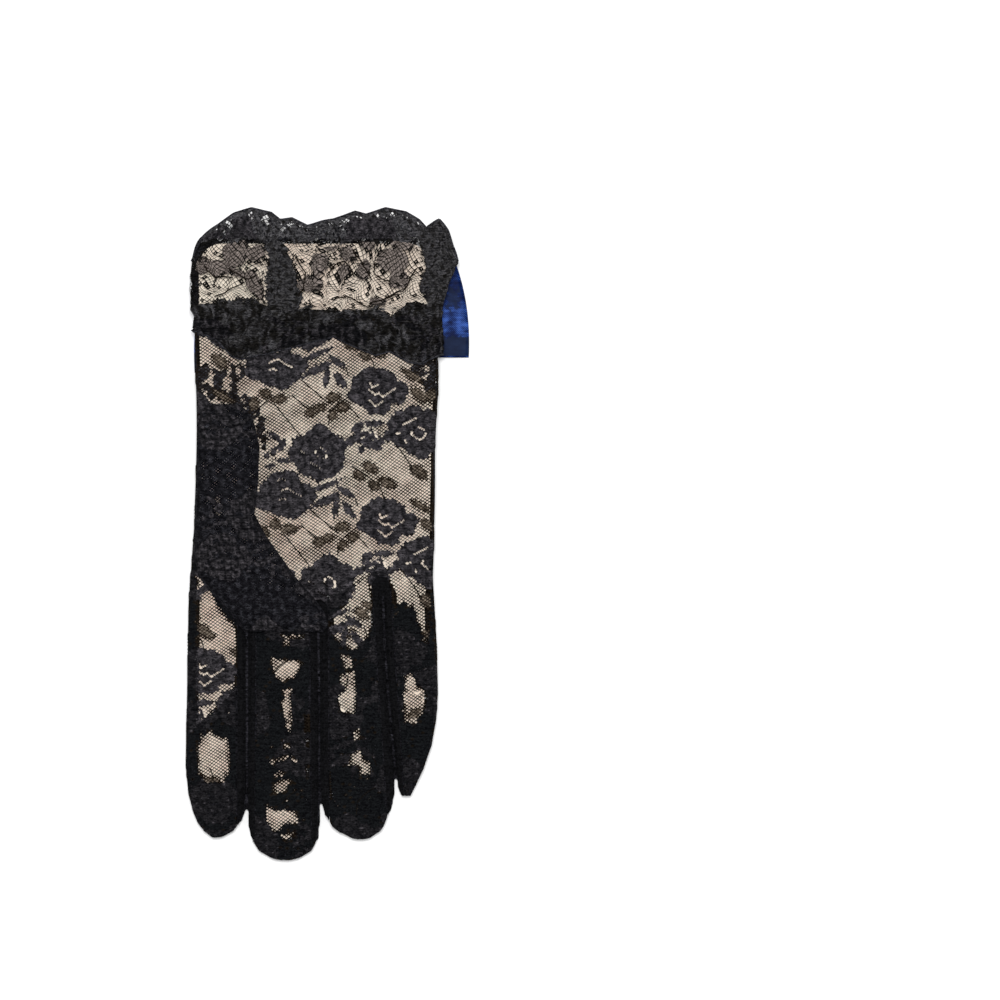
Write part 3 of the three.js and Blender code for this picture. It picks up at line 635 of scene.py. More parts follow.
def yarn_material(name, plain, toned, rib_scale=330.0):
    """Black yarn in fine ribs with fuzz. Each face's tone takes it from plain's dark and light colour to
    toned's."""
    material, tree, shader = node_material(name, 0.85, 0.02)
    coords = object_coords(tree)
    ribs = texture(tree, "ShaderNodeTexWave", rib_scale, coords, Distortion=9.0, Detail=2.0, Detail_Scale=3.0)
    ribs.bands_direction = "Y"
    streaks = texture(tree, "ShaderNodeTexNoise", 1.0, object_coords(tree, (420, 1500, 420)), Detail=2.0)
    ribbed = mix_values(tree, 0.3, streaks.outputs["Fac"], ribs.outputs["Fac"])
    fuzz = texture(tree, "ShaderNodeTexNoise", 1500.0, coords, Detail=2.0)
    height = mix_values(tree, 0.5, ribbed, fuzz.outputs["Fac"])
    colours = [ramp(tree, height, list(zip(YARN_STOPS, pair))) for pair in (plain, toned)]
    tree.links.new(mix_by_tone(tree, *colours), shader.inputs["Base Color"])
    bump(tree, shader, height, 0.0002, 0.7)
    return material


def card_material():
    material, tree, shader = node_material("tan_card", 0.8, 0.3)
    coords = object_coords(tree)
    fibre = texture(tree, "ShaderNodeTexNoise", 260.0, coords, Detail=6.0)
    cloud = texture(tree, "ShaderNodeTexNoise", 30.0, coords, Detail=3.0)
    grain = mix_values(tree, 0.65, fibre.outputs["Fac"], cloud.outputs["Fac"])
    tree.links.new(ramp(tree, grain, CARD_STOPS), shader.inputs["Base Color"])
    bump(tree, shader, fibre.outputs["Fac"], 0.00008, 0.5)
    return material


def satin_material():
    """Blue satin with a fine crossways weave and painted sheen: streaks of its blues run from painted shade to
    painted highlight. Navy where a face's tone is 1.
    """
    material, tree, shader = node_material("blue_satin", 0.5, 0.04)
    shader.inputs["Anisotropic"].default_value = 0.5
    coords = object_coords(tree)
    # Painted sheen: long streaks and clouds of light and shade in the satin's colour
    streak = texture(tree, "ShaderNodeTexNoise", 1.0, object_coords(tree, (260, 900, 260)), Detail=3.0)
    cloud = texture(tree, "ShaderNodeTexNoise", 170.0, coords, Detail=6.0)
    shine = mix_values(tree, 0.65, streak.outputs["Fac"], cloud.outputs["Fac"])
    weave = texture(tree, "ShaderNodeTexWave", 900.0, coords)
    weave.bands_direction = "DIAGONAL"
    height = mix_values(tree, 0.1, shine, weave.outputs["Fac"])
    colours = [ramp(tree, height, stops) for stops in (BLUE_STOPS, NAVY_STOPS)]
    tree.links.new(mix_by_tone(tree, *colours), shader.inputs["Base Color"])
    bump(tree, shader, height, 0.00012, 0.6)
    return material


NET_YARN = yarn_material(
    "black_net_yarn",
    plain=((0.003, 0.002, 0.001), (0.014, 0.010, 0.007)),
    toned=((0.001, 0.001, 0.0015), (0.008, 0.009, 0.010)),
)
# Rose yarn is painted light: its plain colours are painted shade for the creases, its toned colours the lit
# petals
ROSE_YARN = yarn_material(
    "black_rose_yarn",
    plain=((0.001, 0.001, 0.0015), (0.008, 0.008, 0.009)),
    toned=((0.006, 0.006, 0.007), (0.070, 0.064, 0.071)),
)
LEAF_YARN = yarn_material(
    "black_leaf_yarn",
    plain=((0.018, 0.014, 0.010), (0.130, 0.104, 0.082)),
    toned=((0.060, 0.048, 0.038), (0.280, 0.228, 0.180)),
)
PETAL_YARN = yarn_material(
    "sheer_petal_yarn",
    plain=((0.040, 0.034, 0.030), (0.190, 0.160, 0.145)),
    toned=((0.085, 0.071, 0.064), (0.310, 0.260, 0.237)),
)
DEEP_YARN = yarn_material(
    "black_layered_yarn",
    plain=((0.001, 0.001, 0.0015), (0.009, 0.009, 0.011)),
    toned=((0.006, 0.006, 0.008), (0.070, 0.070, 0.082)),
)
FRILL_YARN = yarn_material(
    "black_frill_yarn",
    plain=((0.001, 0.001, 0.001), (0.011, 0.010, 0.009)),
    toned=((0.010, 0.010, 0.012), (0.085, 0.083, 0.088)),
)
TRICOT = yarn_material(
    "black_tricot",
    plain=((0.001, 0.001, 0.0012), (0.007, 0.007, 0.008)),
    toned=((0.002, 0.002, 0.003), (0.036, 0.035, 0.043)),
    rib_scale=420.0,
)
CARD = card_material()
SATIN = satin_material()


def dress(obj, material, replaced=()):
    """Gives a new piece its material and slot, and lets it ride on the glove."""
    obj.data.materials.clear()
    obj.data.materials.append(material)
    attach(obj, "root")
    if replaced:
        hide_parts(*replaced)
    return obj


def dress_node(name, material):
    """Gives a CAD node whose shape stays a better material."""
    nodes[name].data.materials.clear()
    nodes[name].data.materials.append(material)


SEAM_TONE = 0.2
CORD_SIDES = 5


def steep_faces(name, node_names, limit):
    """The named solids' faces whose normal rises less than the limit, as one strip."""
    points, faces = [], []
    for node in node_names:
        mesh = nodes[node].data
        base = len(points)
        points += [tuple(c / MM for c in v.co) for v in mesh.vertices]
        for polygon in mesh.polygons:
            if abs(polygon.normal.z) < limit:
                corners = [base + i for i in polygon.vertices]
                faces += [[corners[0], corners[k], corners[k + 1]] for k in range(1, len(corners) - 1)]
    points = np.array(points)
    points[:, 1] = round_tips(points[:, 0], points[:, 1])
    obj = make_mesh(name, points, np.array(faces), np.full(len(faces), SEAM_TONE))
    return dress(obj, DEEP_YARN)


def cord_piece(name, paths, radius, material, tone):
    """Thin round cords along the paths, each an array of points in mm."""
    points, quads, base, sides = [], [], 0, CORD_SIDES
    ring = np.linspace(0, 2 * math.pi, sides, endpoint=False)
    for path in paths:
        ahead = np.gradient(path, axis=0)
        ahead /= np.maximum(np.linalg.norm(ahead, axis=1, keepdims=True), 1e-9)
        side = np.cross(ahead, [0, 0, 1.0])
        side /= np.maximum(np.linalg.norm(side, axis=1, keepdims=True), 1e-9)
        up = np.cross(side, ahead)
        turned = np.cos(ring)[None, :, None] * side[:, None, :] + np.sin(ring)[None, :, None] * up[:, None, :]
        points.append((path[:, None, :] + radius * turned).reshape(-1, 3))
        a, b = np.meshgrid(np.arange(len(path) - 1), np.arange(sides), indexing="ij")
        a, b, c = a.ravel() * sides + base, b.ravel(), (b.ravel() + 1) % sides
        quads.append(np.stack([a + b, a + c, a + sides + c, a + sides + b], 1))
        base += len(path) * sides
    quads = np.concatenate(quads)
    obj = make_mesh(name, np.concatenate(points), quads, np.full(len(quads), tone))
    return dress(obj, material)


def along(points, spacing):
    """Points evenly spaced along a line through the points."""
    points = np.array(points, float)
    lengths = np.concatenate([[0], np.cumsum(np.hypot(*np.diff(points, axis=0).T))])
    s = np.linspace(0, lengths[-1], max(3, int(lengths[-1] / spacing) + 1))
    return np.interp(s, lengths, points[:, 0]), np.interp(s, lengths, points[:, 1])


# Hand: pierced lace over the palm and over the back, with its worked roses and leaves

STRIPS = ["fourchette_index_middle", "fourchette_middle_ring", "fourchette_ring_little"]
hand_top = height_map(["palm_panel"] + STRIPS)
hand_under = height_map(["back_panel"] + STRIPS, from_above=False)
palm_cover = height_map(["palm_panel"], rounds=1)["cover"]
back_cover = height_map(["back_panel"], from_above=False, rounds=1)["cover"]
thumb_top = height_map(["thumb"], rounds=4)
thumb_under = height_map(["thumb"], from_above=False, rounds=4)

HAND_LOW, HAND_HIGH = (-50.5, -113.5), (40.0, 76.0)
MOTIF_STEP = 0.33
MOTIF_LIFT = 0.12  # how far worked cloth lies off its net
PUFF = 0.16  # how far a petal's middle rises
NET_LEVEL = 0.35  # the net is cut a little outside its outline, and then pulled in to it
DENSE_LEVEL = 0.6  # dark cloth inside the glove ends a little inside its outline
SPECK_LEVEL = 1.0  # noise above this opens a small gap in the folded cloth
BACK_MIRROR = 634.6  # the back's chart is the palm's, turned over about half this pixel


def mid_height(y):
    """Height of the glove's middle plane, which rises towards the wrist."""
    return 5.6 + 0.042 * (y + 113)


def rumple(x, y):
    """Small wrinkles that the worked cloth draws in the net, in mm."""
    return 0.16 * smooth_noise(x, y, 9, 71) + 0.07 * smooth_noise(x, y, 3.5, 72)


def drift(x, y, cover):
    """Lets the net's rows wander a little, and keeps them inside the cloth's outline."""
    return pull_inside(cover, x + 0.25 * smooth_noise(x, y, 26, 31), y + 0.25 * smooth_noise(x, y, 22, 32))


# Finger tips, where the cloth is rounder than the solids' flat ends: middle, end and half width in pixels, and
# the share of the arc that is taken off the tip's corners and not added at its middle
TIPS = [
    {"x": 216.0, "y": 837.5, "half": 14.5, "inward": 1.0},
    {"x": 286.0, "y": 857.0, "half": 19.0, "inward": 0.4},
    {"x": 361.0, "y": 839.0, "half": 17.0, "inward": 1.0},
]
TIP_ARC = 1.5
TIP_REACH = 1.6  # how far to each side a tip is bent, in half widths
TIP_START, TIP_END = 9, 1  # where the bend starts and is whole, in pixels before the end


def round_tips(x, y):
    """Bends the finger tips' flat ends into an arc."""
    px, py = to_px(x, y)
    for tip in TIPS:
        away = np.abs(px - tip["x"]) / tip["half"]
        arc = TIP_ARC * (np.clip(1 - away ** 2, 0, 1) - tip["inward"])
        y = y - arc * (away < TIP_REACH) * smoothstep(tip["y"] - TIP_START, tip["y"] - TIP_END, py)
    return y


def on_top(height, cover, clearance, puff=None):
    def place(x, y):
        sx, sy = drift(x, y, cover)
        z = sample(height["z"], sx, sy) + clearance + rumple(sx, sy)
        return np.stack([sx, round_tips(sx, sy), z + PUFF * puff(x, y) if puff else z], 1)

    return place


def below(height, cover, clearance):
    def place(x, y):
        sx, sy = drift(x, y, cover)
        z = sample(height["z"], sx, sy) + clearance - 0.6 * rumple(sx, sy)
        return np.stack([sx, round_tips(sx, sy), np.maximum(z, 0.04)], 1)

    return place


def covered(cover):
    return lambda x, y: sample(cover, x, y) > NET_LEVEL


def hand_holes(mirrored, cover):
    """Holes of the hand's net. Cells are left out under the roses' dashes. Holes are shut under the roses and
    along the outline, smaller round the leaves and over the folds, and a little wider beside the roses."""

    def holes(x, y):
        px, py = to_px(x, y)
        px = BACK_MIRROR - px if mirrored else px
        hole = NET_HOLE + 0.07 * smooth_noise(x, y, 9, 5) + 0.05 * smooth_noise(x, y, 2.2, 6)
        hole = np.where(np.abs(sample_raster(leaf_map, px, py)) < 0.9, hole - 0.25, hole)
        rose = sample_raster(rose_map, px, py)
        hole = hole + np.clip(0.02 + 0.05 * smooth_noise(x, y, 5.0, 9), 0, 0.1) * smoothstep(-6, -2, rose)
        if not mirrored:
            folds = fold_field(x, y)
            hole = hole - 0.4 * smoothstep(-0.9, 0.1, folds + 0.4 * smooth_noise(x, y, 2.0, 7))
        hole = np.where(rose > 1.0, 0.0, np.clip(hole, 0, 0.9))
        hole = np.where(sample_raster(dash_map, px, py) > -0.6, 1.0, hole)
        hole = np.where(sample(cover, x, y) < 0.85, 0.0, hole)
        return hole, np.zeros(x.shape) if mirrored else (folds > 0).astype(float)

    return holes


def fold_field(x, y):
    """Where cloth lies folded flat inside the fingers, in mm, and past the card's end a dark sheet that stands
    in as painted shade for the glove's inside. Their middles leave the card bare.
    """
    px, py = to_px(x, y)
    top = np.interp(px, [p[0] for p in FOLD_TOP], [p[1] for p in FOLD_TOP])
    wave = 1.3 * smooth_noise(px, py, 7, 81) + 1.0 * smooth_noise(px, py, 2.8, 82)
    field = np.minimum((py - top) * PIXEL, -(sample_raster(window_map, px, py) + wave) * PIXEL)
    field = np.minimum(field, 0.8 * (SPECK_LEVEL - smooth_noise(x, y, 1.9, 84)))
    return np.minimum(field, depth_inside(hand_top["cover"], x, y, DENSE_LEVEL))


def palm_limit(x, y):
    """Where worked cloth shows on the palm: inside its outline, and not under the thumb."""
    hidden = sample(thumb_top["cover"], x, y) > 0.97
    return np.where(hidden, -1.0, depth_inside(palm_cover, x, y))


def palm_net_limit(x, y):
    """Where the palm's bare net shows: as its worked cloth, but not over dark folds."""
    return np.where(fold_field(x, y) > 0.1, -1.0, palm_limit(x, y))


def back_limit(x, y):
    return depth_inside(back_cover, x, y)


def worked(raster, limit, mirrored=False):
    """The field of a chart's cloth, in mm, within a limit."""

    def field(x, y):
        px, py = to_px(x, y)
        px = BACK_MIRROR - px if mirrored else px
        return np.minimum(sample_raster(raster, px, py) * PIXEL, limit(x, y))

    return field


def puff_at(px, py):
    """How far a rose's petals are puffed up, from 0 in the creases between them to 1."""
    return smoothstep(0.1, 2.4, -sample_raster(crease_map, px, py))


def puff(x, y):
    return puff_at(*to_px(x, y))


def petal_tone(x, y):
    # Painted light: puffed petal middles lighter and painted shade in the creases between them, with random
    # patches; a fifth as bright where folds lie under them
    lit = (0.25 + 0.45 * puff(x, y)) * (1 + 0.6 * smooth_noise(x, y, 2.2, 74))
    return np.clip(lit * np.where(fold_field(x, y) > 0.05, 0.22, 1.0), 0, 1)


def doubled_field(x, y):
    """Where the lace lies doubled along the palm's two edges, broken up by its open net."""
    field = np.minimum(sample_raster(edge_map, *to_px(x, y)) * PIXEL, 1.2) - 0.7
    field = field + 1.1 * smooth_noise(x, y, 3.6, 75) + 0.6 * smooth_noise(x, y, 1.5, 76)
    return np.minimum(field, palm_limit(x, y))


def evenly(value):
    return lambda x, y: np.full(x.shape, value)


def patchy(size, seed):
    return lambda x, y: np.clip(0.5 + 0.5 * smooth_noise(x, y, size, seed), 0, 1)


palm_net = net_sheet(
    "palm_net", HAND_LOW, HAND_HIGH, covered(palm_cover), hand_holes(False, palm_cover),
    on_top(hand_top, palm_cover, 0.0),
)
dress(palm_net, NET_YARN, ["palm_panel"])
palm_roses = patch_sheet(
    "palm_roses", HAND_LOW, HAND_HIGH, MOTIF_STEP, worked(rose_map, palm_limit),
    on_top(hand_top, palm_cover, MOTIF_LIFT, puff), petal_tone,
)
dress(palm_roses, ROSE_YARN)
palm_leaves = patch_sheet(
    "palm_leaves", HAND_LOW, HAND_HIGH, MOTIF_STEP, worked(leaf_map, palm_net_limit),
    on_top(hand_top, palm_cover, -MOTIF_LIFT), patchy(3, 73),
)
dress(palm_leaves, LEAF_YARN)
palm_doubled = patch_sheet(
    "palm_doubled", HAND_LOW, HAND_HIGH, MOTIF_STEP, doubled_field,
    on_top(hand_top, palm_cover, -2.5 * MOTIF_LIFT), patchy(2, 77),
)
dress(palm_doubled, DEEP_YARN)
back_net = net_sheet(
    "back_net", HAND_LOW, HAND_HIGH, covered(back_cover), hand_holes(True, back_cover),
    below(hand_under, back_cover, 0.25), pitch=1.15,
)
dress(back_net, NET_YARN, ["back_panel"])
back_motifs = patch_sheet(
    "back_motifs", HAND_LOW, HAND_HIGH, 0.48, worked(cloth_map, back_limit, True),
    below(hand_under, back_cover, 0.1), evenly(0.8),
)
dress(back_motifs, ROSE_YARN)
side_seams = steep_faces("side_seams", ["palm_panel", "back_panel"], limit=0.72)
for strip in STRIPS:
    dress_node(strip, TRICOT)

# Dark cloth folded inside the fingers, over the card. Past the card's end the same dark sheet stands in as
# painted shade for the glove's dark inside.

FOLDS_HIGH = (40.0, -5.0)
CARD_GAP = 0.12
card_top = height_map(["card_form"])


def over_card(x, y, z):
    """Lifts places at height z onto the card where they would lie under its face."""
    on_card = sample(card_top["cover"], x, y) > 0.1
    return np.maximum(z, np.where(on_card, sample(card_top["z"], x, y) + CARD_GAP, 0))


def fold_place(x, y):
    """Puts the folds on the card, and under the palm's net where the fingers close."""
    z = over_card(x, y, np.minimum(sample(hand_top["z"], x, y) - 0.45, mid_height(y) + 0.75))
    return np.stack([x, round_tips(x, y), z + 0.1 + 0.1 * smooth_noise(x, y, 6, 83)], 1)


folds_and_inner_shade = patch_sheet(
    "folds_and_inner_shade", HAND_LOW, FOLDS_HIGH, 0.42, fold_field, fold_place, patchy(1.6, 85)
)
dress(folds_and_inner_shade, TRICOT)

# The knit strips' own cloth, pressed between the fingers

STRIP_LEVEL = 0.22  # the strips are narrow, so their soft map is low
strip_cover = height_map(STRIPS, rounds=1)["cover"]


def strip_field(x, y):
    return depth_inside(strip_cover, x, y, STRIP_LEVEL)


def strip_place(x, y):
    z = over_card(x, y, 0.45 * sample(hand_top["z"], x, y))
    return np.stack([x, y, z + 0.15 + 0.1 * smooth_noise(x, y, 5, 87)], 1)


strip_folds = patch_sheet(
    "strip_folds", HAND_LOW, FOLDS_HIGH, 0.35, strip_field, strip_place, patchy(4, 88)
)
dress(strip_folds, TRICOT)

# Stems: fine cords that run through the palm's net

stem_paths = []
for shift in repeats():
    for stem in STEMS:
        x, y = to_mm(*along(shifted(stem, shift), 4.0))
        if (sample(palm_cover, x, y) > 0.95).all() and (sample(thumb_top["cover"], x, y) < 0.5).all():
            stem_paths.append(np.stack([x, y, sample(hand_top["z"], x, y) + rumple(x, y) + 0.1], 1))
stem_cords = cord_piece("stem_cords", stem_paths, 0.19, NET_YARN, 0.3)

# Thumb: doubled lace, one layer over the other

THUMB_LOW, THUMB_HIGH = (-47.5, -36.0), (3.0, 48.0)
THUMB_SLIT = {"x": 221, "y": 506, "wide": 3.5, "long": 11.0}
THUMB_CHART = (62, -62)  # the thumb takes the palm's chart from this many pixels away


def thumb_place(x, y):
    sx, sy = pull_inside(thumb_top["cover"], x, y)
    inner = smoothstep(0.5, 1.0, sample(thumb_top["cover"], sx, sy))
    wrinkles = 0.5 * smooth_noise(sx, sy, 7, 91) + 0.18 * smooth_noise(sx, sy, 3.2, 92)
    return np.stack([sx, sy, sample(thumb_top["z"], sx, sy) - 0.1 + inner * wrinkles], 1)


def thumb_holes(x, y):
    px, py = to_px(x, y)
    slit_x = (px - THUMB_SLIT["x"]) / THUMB_SLIT["wide"]
    slit = np.hypot(slit_x, (py - THUMB_SLIT["y"]) / THUMB_SLIT["long"]) < 1
    hole = np.clip(0.30 + 0.24 * smooth_noise(x, y, 4.0, 93), 0, 0.48)
    tone = np.clip(0.08 + 0.35 * smooth_noise(x, y, 2.2, 94), 0, 1)
    return np.where(slit, NET_HOLE, hole), tone


def thumb_puff(x, y):
    px, py = to_px(x, y)
    return puff_at(px + THUMB_CHART[0], py + THUMB_CHART[1])


def thumb_field(x, y):
    px, py = to_px(x, y)
    roses = sample_raster(whole_rose_map, px + THUMB_CHART[0], py + THUMB_CHART[1]) * PIXEL
    limit = depth_inside(thumb_top["cover"], x, y, DENSE_LEVEL)
    return np.minimum(roses - 0.2 + 0.4 * smooth_noise(x, y, 2, 95), limit)


def thumb_tone(x, y):
    """Painted light on the petals, lighter where they puff and painted shade in their creases, and a dark band
    along the thumb's edge.
    """
    edge = 0.3 + 0.7 * smoothstep(0.6, 1.0, sample(thumb_top["cover"], x, y))
    return np.clip(edge * (0.2 + 0.8 * thumb_puff(x, y)) * (0.46 + 0.45 * smooth_noise(x, y, 1.5, 96)), 0, 1)


def thumb_rose_place(x, y):
    return thumb_place(x, y) + np.array([0, 0, 0.12]) + PUFF * thumb_puff(x, y)[:, None] * np.array([0, 0, 1])


thumb_lace = net_sheet(
    "thumb_lace", THUMB_LOW, THUMB_HIGH, covered(thumb_top["cover"]), thumb_holes, thumb_place, pitch=0.8
)
dress(thumb_lace, DEEP_YARN, ["thumb"])
thumb_roses = patch_sheet(
    "thumb_roses", THUMB_LOW, THUMB_HIGH, 0.4, thumb_field, thumb_rose_place, thumb_tone
)
dress(thumb_roses, ROSE_YARN)
thumb_back = net_sheet(
    "thumb_lace_under", THUMB_LOW, THUMB_HIGH, covered(thumb_under["cover"]), thumb_holes,
    below(thumb_under, thumb_under["cover"], 0.15),
)
dress(thumb_back, DEEP_YARN)
thumb_seam = steep_faces("thumb_seam", ["thumb"], limit=0.55)

# Ruffle. The same rows, edge and hem as the CAD's solid, with finer gathers on it.

SHIFT = (-4.29, -0.5)
CROWN, WRIST_LIFT, FLATTEN, SQUARE = 3.0, 6.2, 1.1, 4.2
RUFFLE_HALF, WRIST_HEIGHT = 42.3, 6.0
ROWS = {
    "y": [62.5, 67.5, 72.5, 76.5, 81.0, 88.5, 96.0, 102.0],
    "grow": [1.9, 1.8, 1.5, 1.3, 1.4, 1.8, 2.3, 2.6],
    "gather": [0.8, 0.75, 0.55, 0.35, 0.6, 0.6, 0.35, 0.15],
    "flute": [0.0, 0.0, 0.0, 0.0, 0.5, 1.3, 2.1, 2.6],
    "hem": [1.0, 0.5, 0.0, 0.0, 0.0, 0.0, 0.0, 0.0],
    "edge": [0.0, 0.0, 0.0, 0.0, 0.0, 0.12, 0.45, 1.0],
}
HEM_Y, GATHER_Y, EDGE_Y = 62.5, 76.5, 102.0
FRONT_EDGE = np.array([
    (-42.6, 95.5), (-41.4, 100.5), (-38.5, 104.6), (-33.0, 107.6), (-27.5, 111.4), (-21.4, 113.2),
    (-14.5, 111.6), (-11.5, 109.2), (-7.4, 109.8), (-2.1, 107.2), (3.5, 108.9), (7.0, 109.4),
    (14.4, 112.0), (18.2, 111.0), (24.9, 113.2), (32.0, 111.8), (36.5, 109.2), (38.9, 106.6),
    (43.4, 109.9), (46.6, 107.6), (48.6, 102.0), (49.6, 95.5),
])
FRONT_HEM = np.array([
    (-44.0, 70.9), (-40.6, 70.9), (-34.3, 67.4), (-29.0, 62.5), (-25.9, 61.1), (-17.5, 62.8),
    (-6.3, 65.6), (6.7, 69.0), (11.9, 66.3), (21.4, 62.5), (26.3, 63.9), (33.0, 60.0), (37.0, 59.5),
    (44.0, 63.0),
])
SIDE_EDGE = -6.5
SIDE_HEM = 36.0  # past this distance from the middle the back's hem follows the front's
BACK_EDGE = {"scallops": 6, "crest": 4.5, "notch": 0.5, "wave": 0.35, "pleat": 0.4, "grow": 0.8}
FLARE = {"half": 1.2, "shift": 3.2}
WAVE_BASE, WAVE_PER_REACH = 0.1, 0.16
PLEATS = 22
ALONG = 50.0  # the ruffle's flat depth, from its hem to its free edge
GATHER_T = 22.0  # where the gathering thread runs, from the hem
LEFT_TUCK = 1.7  # how far the heading is tucked in at the glove's left edge
RUFFLE_SEED = 21


def flat_loop(angle):
    cos, sin = np.cos(angle), np.sin(angle)
    return np.sign(cos) * np.abs(cos) ** (2 / SQUARE), np.sign(sin) * np.abs(sin) ** (2 / SQUARE)


arc_angles = np.linspace(0, 2 * math.pi, 2881)
arc_x, arc_z = flat_loop(arc_angles)
arc_steps = np.hypot(np.diff(arc_x) * RUFFLE_HALF, np.diff(arc_z) * WRIST_HEIGHT)
arc_lengths = np.concatenate([[0], np.cumsum(arc_steps)])
AROUND = float(arc_lengths[-1])


def ruffle_surface(s, t, extra=0.0):
    """The ruffle's middle surface in mm, from the flat distance round the wrist and up from the hem. It also
    says which points are in front."""
    angle = np.interp(s % AROUND, arc_lengths, arc_angles)
    loop_x, loop_z = flat_loop(angle)
    front = loop_z > 0
    place = np.clip(t / ALONG, 0, 1) * (len(ROWS["y"]) - 1)
    row = {key: np.interp(place, np.arange(len(ROWS["y"])), numbers) for key, numbers in ROWS.items()}
    flare = smoothstep(GATHER_Y, EDGE_Y, row["y"])
    half = RUFFLE_HALF + row["grow"] + FLARE["half"] * flare + extra
    x = 0.4 + FLARE["shift"] * flare + half * loop_x
    mid = mid_height(row["y"])
    facing = smoothstep(0.25, 0.9, np.abs(loop_z))
    front_reach = np.interp(x, FRONT_EDGE[:, 0], FRONT_EDGE[:, 1]) - EDGE_Y
    scallop = np.abs(np.sin(math.pi * BACK_EDGE["scallops"] * (x + 50) / 100))
    back_reach = BACK_EDGE["notch"] + (BACK_EDGE["crest"] - BACK_EDGE["notch"]) * scallop
    reach = SIDE_EDGE + (np.where(front, front_reach, back_reach) - SIDE_EDGE) * facing
    side = smoothstep(SIDE_HEM, SIDE_HEM + 5, np.abs(x))
    hem_share = np.maximum(np.where(front, facing, 0), side)
    hem_shift = (np.interp(x, FRONT_HEM[:, 0], FRONT_HEM[:, 1]) - HEM_Y) * hem_share
    turn = 2 * math.pi * s / AROUND
    pleat = row["gather"] * np.cos(PLEATS * turn + 1.3 * np.sin(3 * turn)) * facing
    y = row["y"] + row["edge"] * reach + row["hem"] * hem_shift
    front_wave = row["flute"] * (WAVE_BASE + WAVE_PER_REACH * reach) * facing
    back_wave = row["flute"] * BACK_EDGE["wave"] * (reach / BACK_EDGE["crest"] - 0.5) * facing
    up = mid + (CROWN + row["grow"] + extra) * loop_z + pleat + front_wave
    drop = mid - WRIST_LIFT + BACK_EDGE["grow"] * row["grow"] + extra
    down = mid + drop * np.maximum(-1, FLATTEN * loop_z) + pleat * BACK_EDGE["pleat"] - back_wave
    return x + SHIFT[0], y + SHIFT[1], np.where(front, up, down), front


def ruffle_place(extra, crumple):
    """Puts flat points on the ruffle, with fine gathers and crumples. extra makes its loop wider, in mm."""
    seed = RUFFLE_SEED

    def place(s, t):
        t = np.clip(t, 0, ALONG)
        x, y, z, front = ruffle_surface(s, t, extra)
        out = np.where(front, 1.0, -0.35) * crumple
        heading = smoothstep(GATHER_T, GATHER_T - 6, t)
        near_gather = np.exp(-(((t - GATHER_T) / 7.0) ** 2))
        wander = 2.4 * smooth_noise(s, t, 14, seed)
        fine = np.sin(s * 2 * math.pi / 3.3 + wander) * (0.3 + 0.8 * near_gather + 0.35 * heading)
        crease = 0.4 - np.abs(smooth_noise(s, t, 6.5, seed + 3))
        z = z + out * (0.34 * fine + heading * (1.4 * crease + 0.6 * smooth_noise(s, t, 2.4, seed + 4)))
        z = z + out * 0.35 * (1 - heading) * smooth_noise(s, t, 5, seed + 7)
        hold = smoothstep(0, 4, t) * smoothstep(ALONG, ALONG - 4, t)
        x = x + LEFT_TUCK * smoothstep(GATHER_T + 8, GATHER_T - 4, t) * smoothstep(-30, -46, x)
        x = x + crumple * hold * 0.5 * smooth_noise(s, t, 5.5, seed + 5)
        y = y + crumple * hold * 0.55 * smooth_noise(s, t, 6, seed + 6)
        return np.stack([x, y, np.maximum(z, 0.05)], 1)

    return place


def wandering(place, amount, seed):
    """Lets the net's rows wander by amount mm before they are placed."""

    def moved(s, t):
        hold = smoothstep(0, 3, t) * smoothstep(ALONG, ALONG - 3, t) * amount
        return place(s + hold * smooth_noise(s, t, 7, seed), t + hold * smooth_noise(s, t, 6, seed + 1))

    return moved


# Chart of the ruffle's front, in the photo's pixels
PETALS = table("x y long wide turn", [
    (238, 256, 14, 11.5, -10), (224, 270, 14, 8.5, 8), (205, 268, 9, 7, 80), (260, 256, 9, 7, 20),
    (240, 275, 8, 5, -30), (257, 286, 15, 7, -58), (394, 263, 16, 11.5, -8), (399, 282, 11, 8, 20),
    (366, 273, 10.5, 7, 70), (322, 266, 11, 9.5, 60), (312, 286, 12, 8.5, 10), (350, 257, 9, 6.5, -30),
    (333, 247, 8, 5.5, 0), (369, 248, 7.5, 5, 0), (405, 247, 11, 5.5, -10), (345, 275, 9, 6, 60),
    (378, 304, 8, 4, 10),
])
FRILL_LINES = [
    [(355, 254), (362, 262), (367, 270), (371, 277), (373, 283)],
    [(377, 266), (376, 277), (382, 281), (389, 283)],
    [(329, 281), (334, 272), (340, 265), (347, 264), (352, 270), (356, 280)],
    [(418, 272), (412, 280), (404, 291), (395, 297), (385, 301)],
    [(218, 298), (229, 294), (238, 290), (245, 286)],
    [(234, 270), (240, 277), (249, 281), (258, 279)],
    [(338, 300), (350, 299), (357, 304), (368, 307), (378, 303), (390, 300), (401, 296)],
    [(207, 268), (210, 274), (222, 280), (236, 281)],
    [(300, 262), (308, 276), (306, 292), (300, 300)],
]
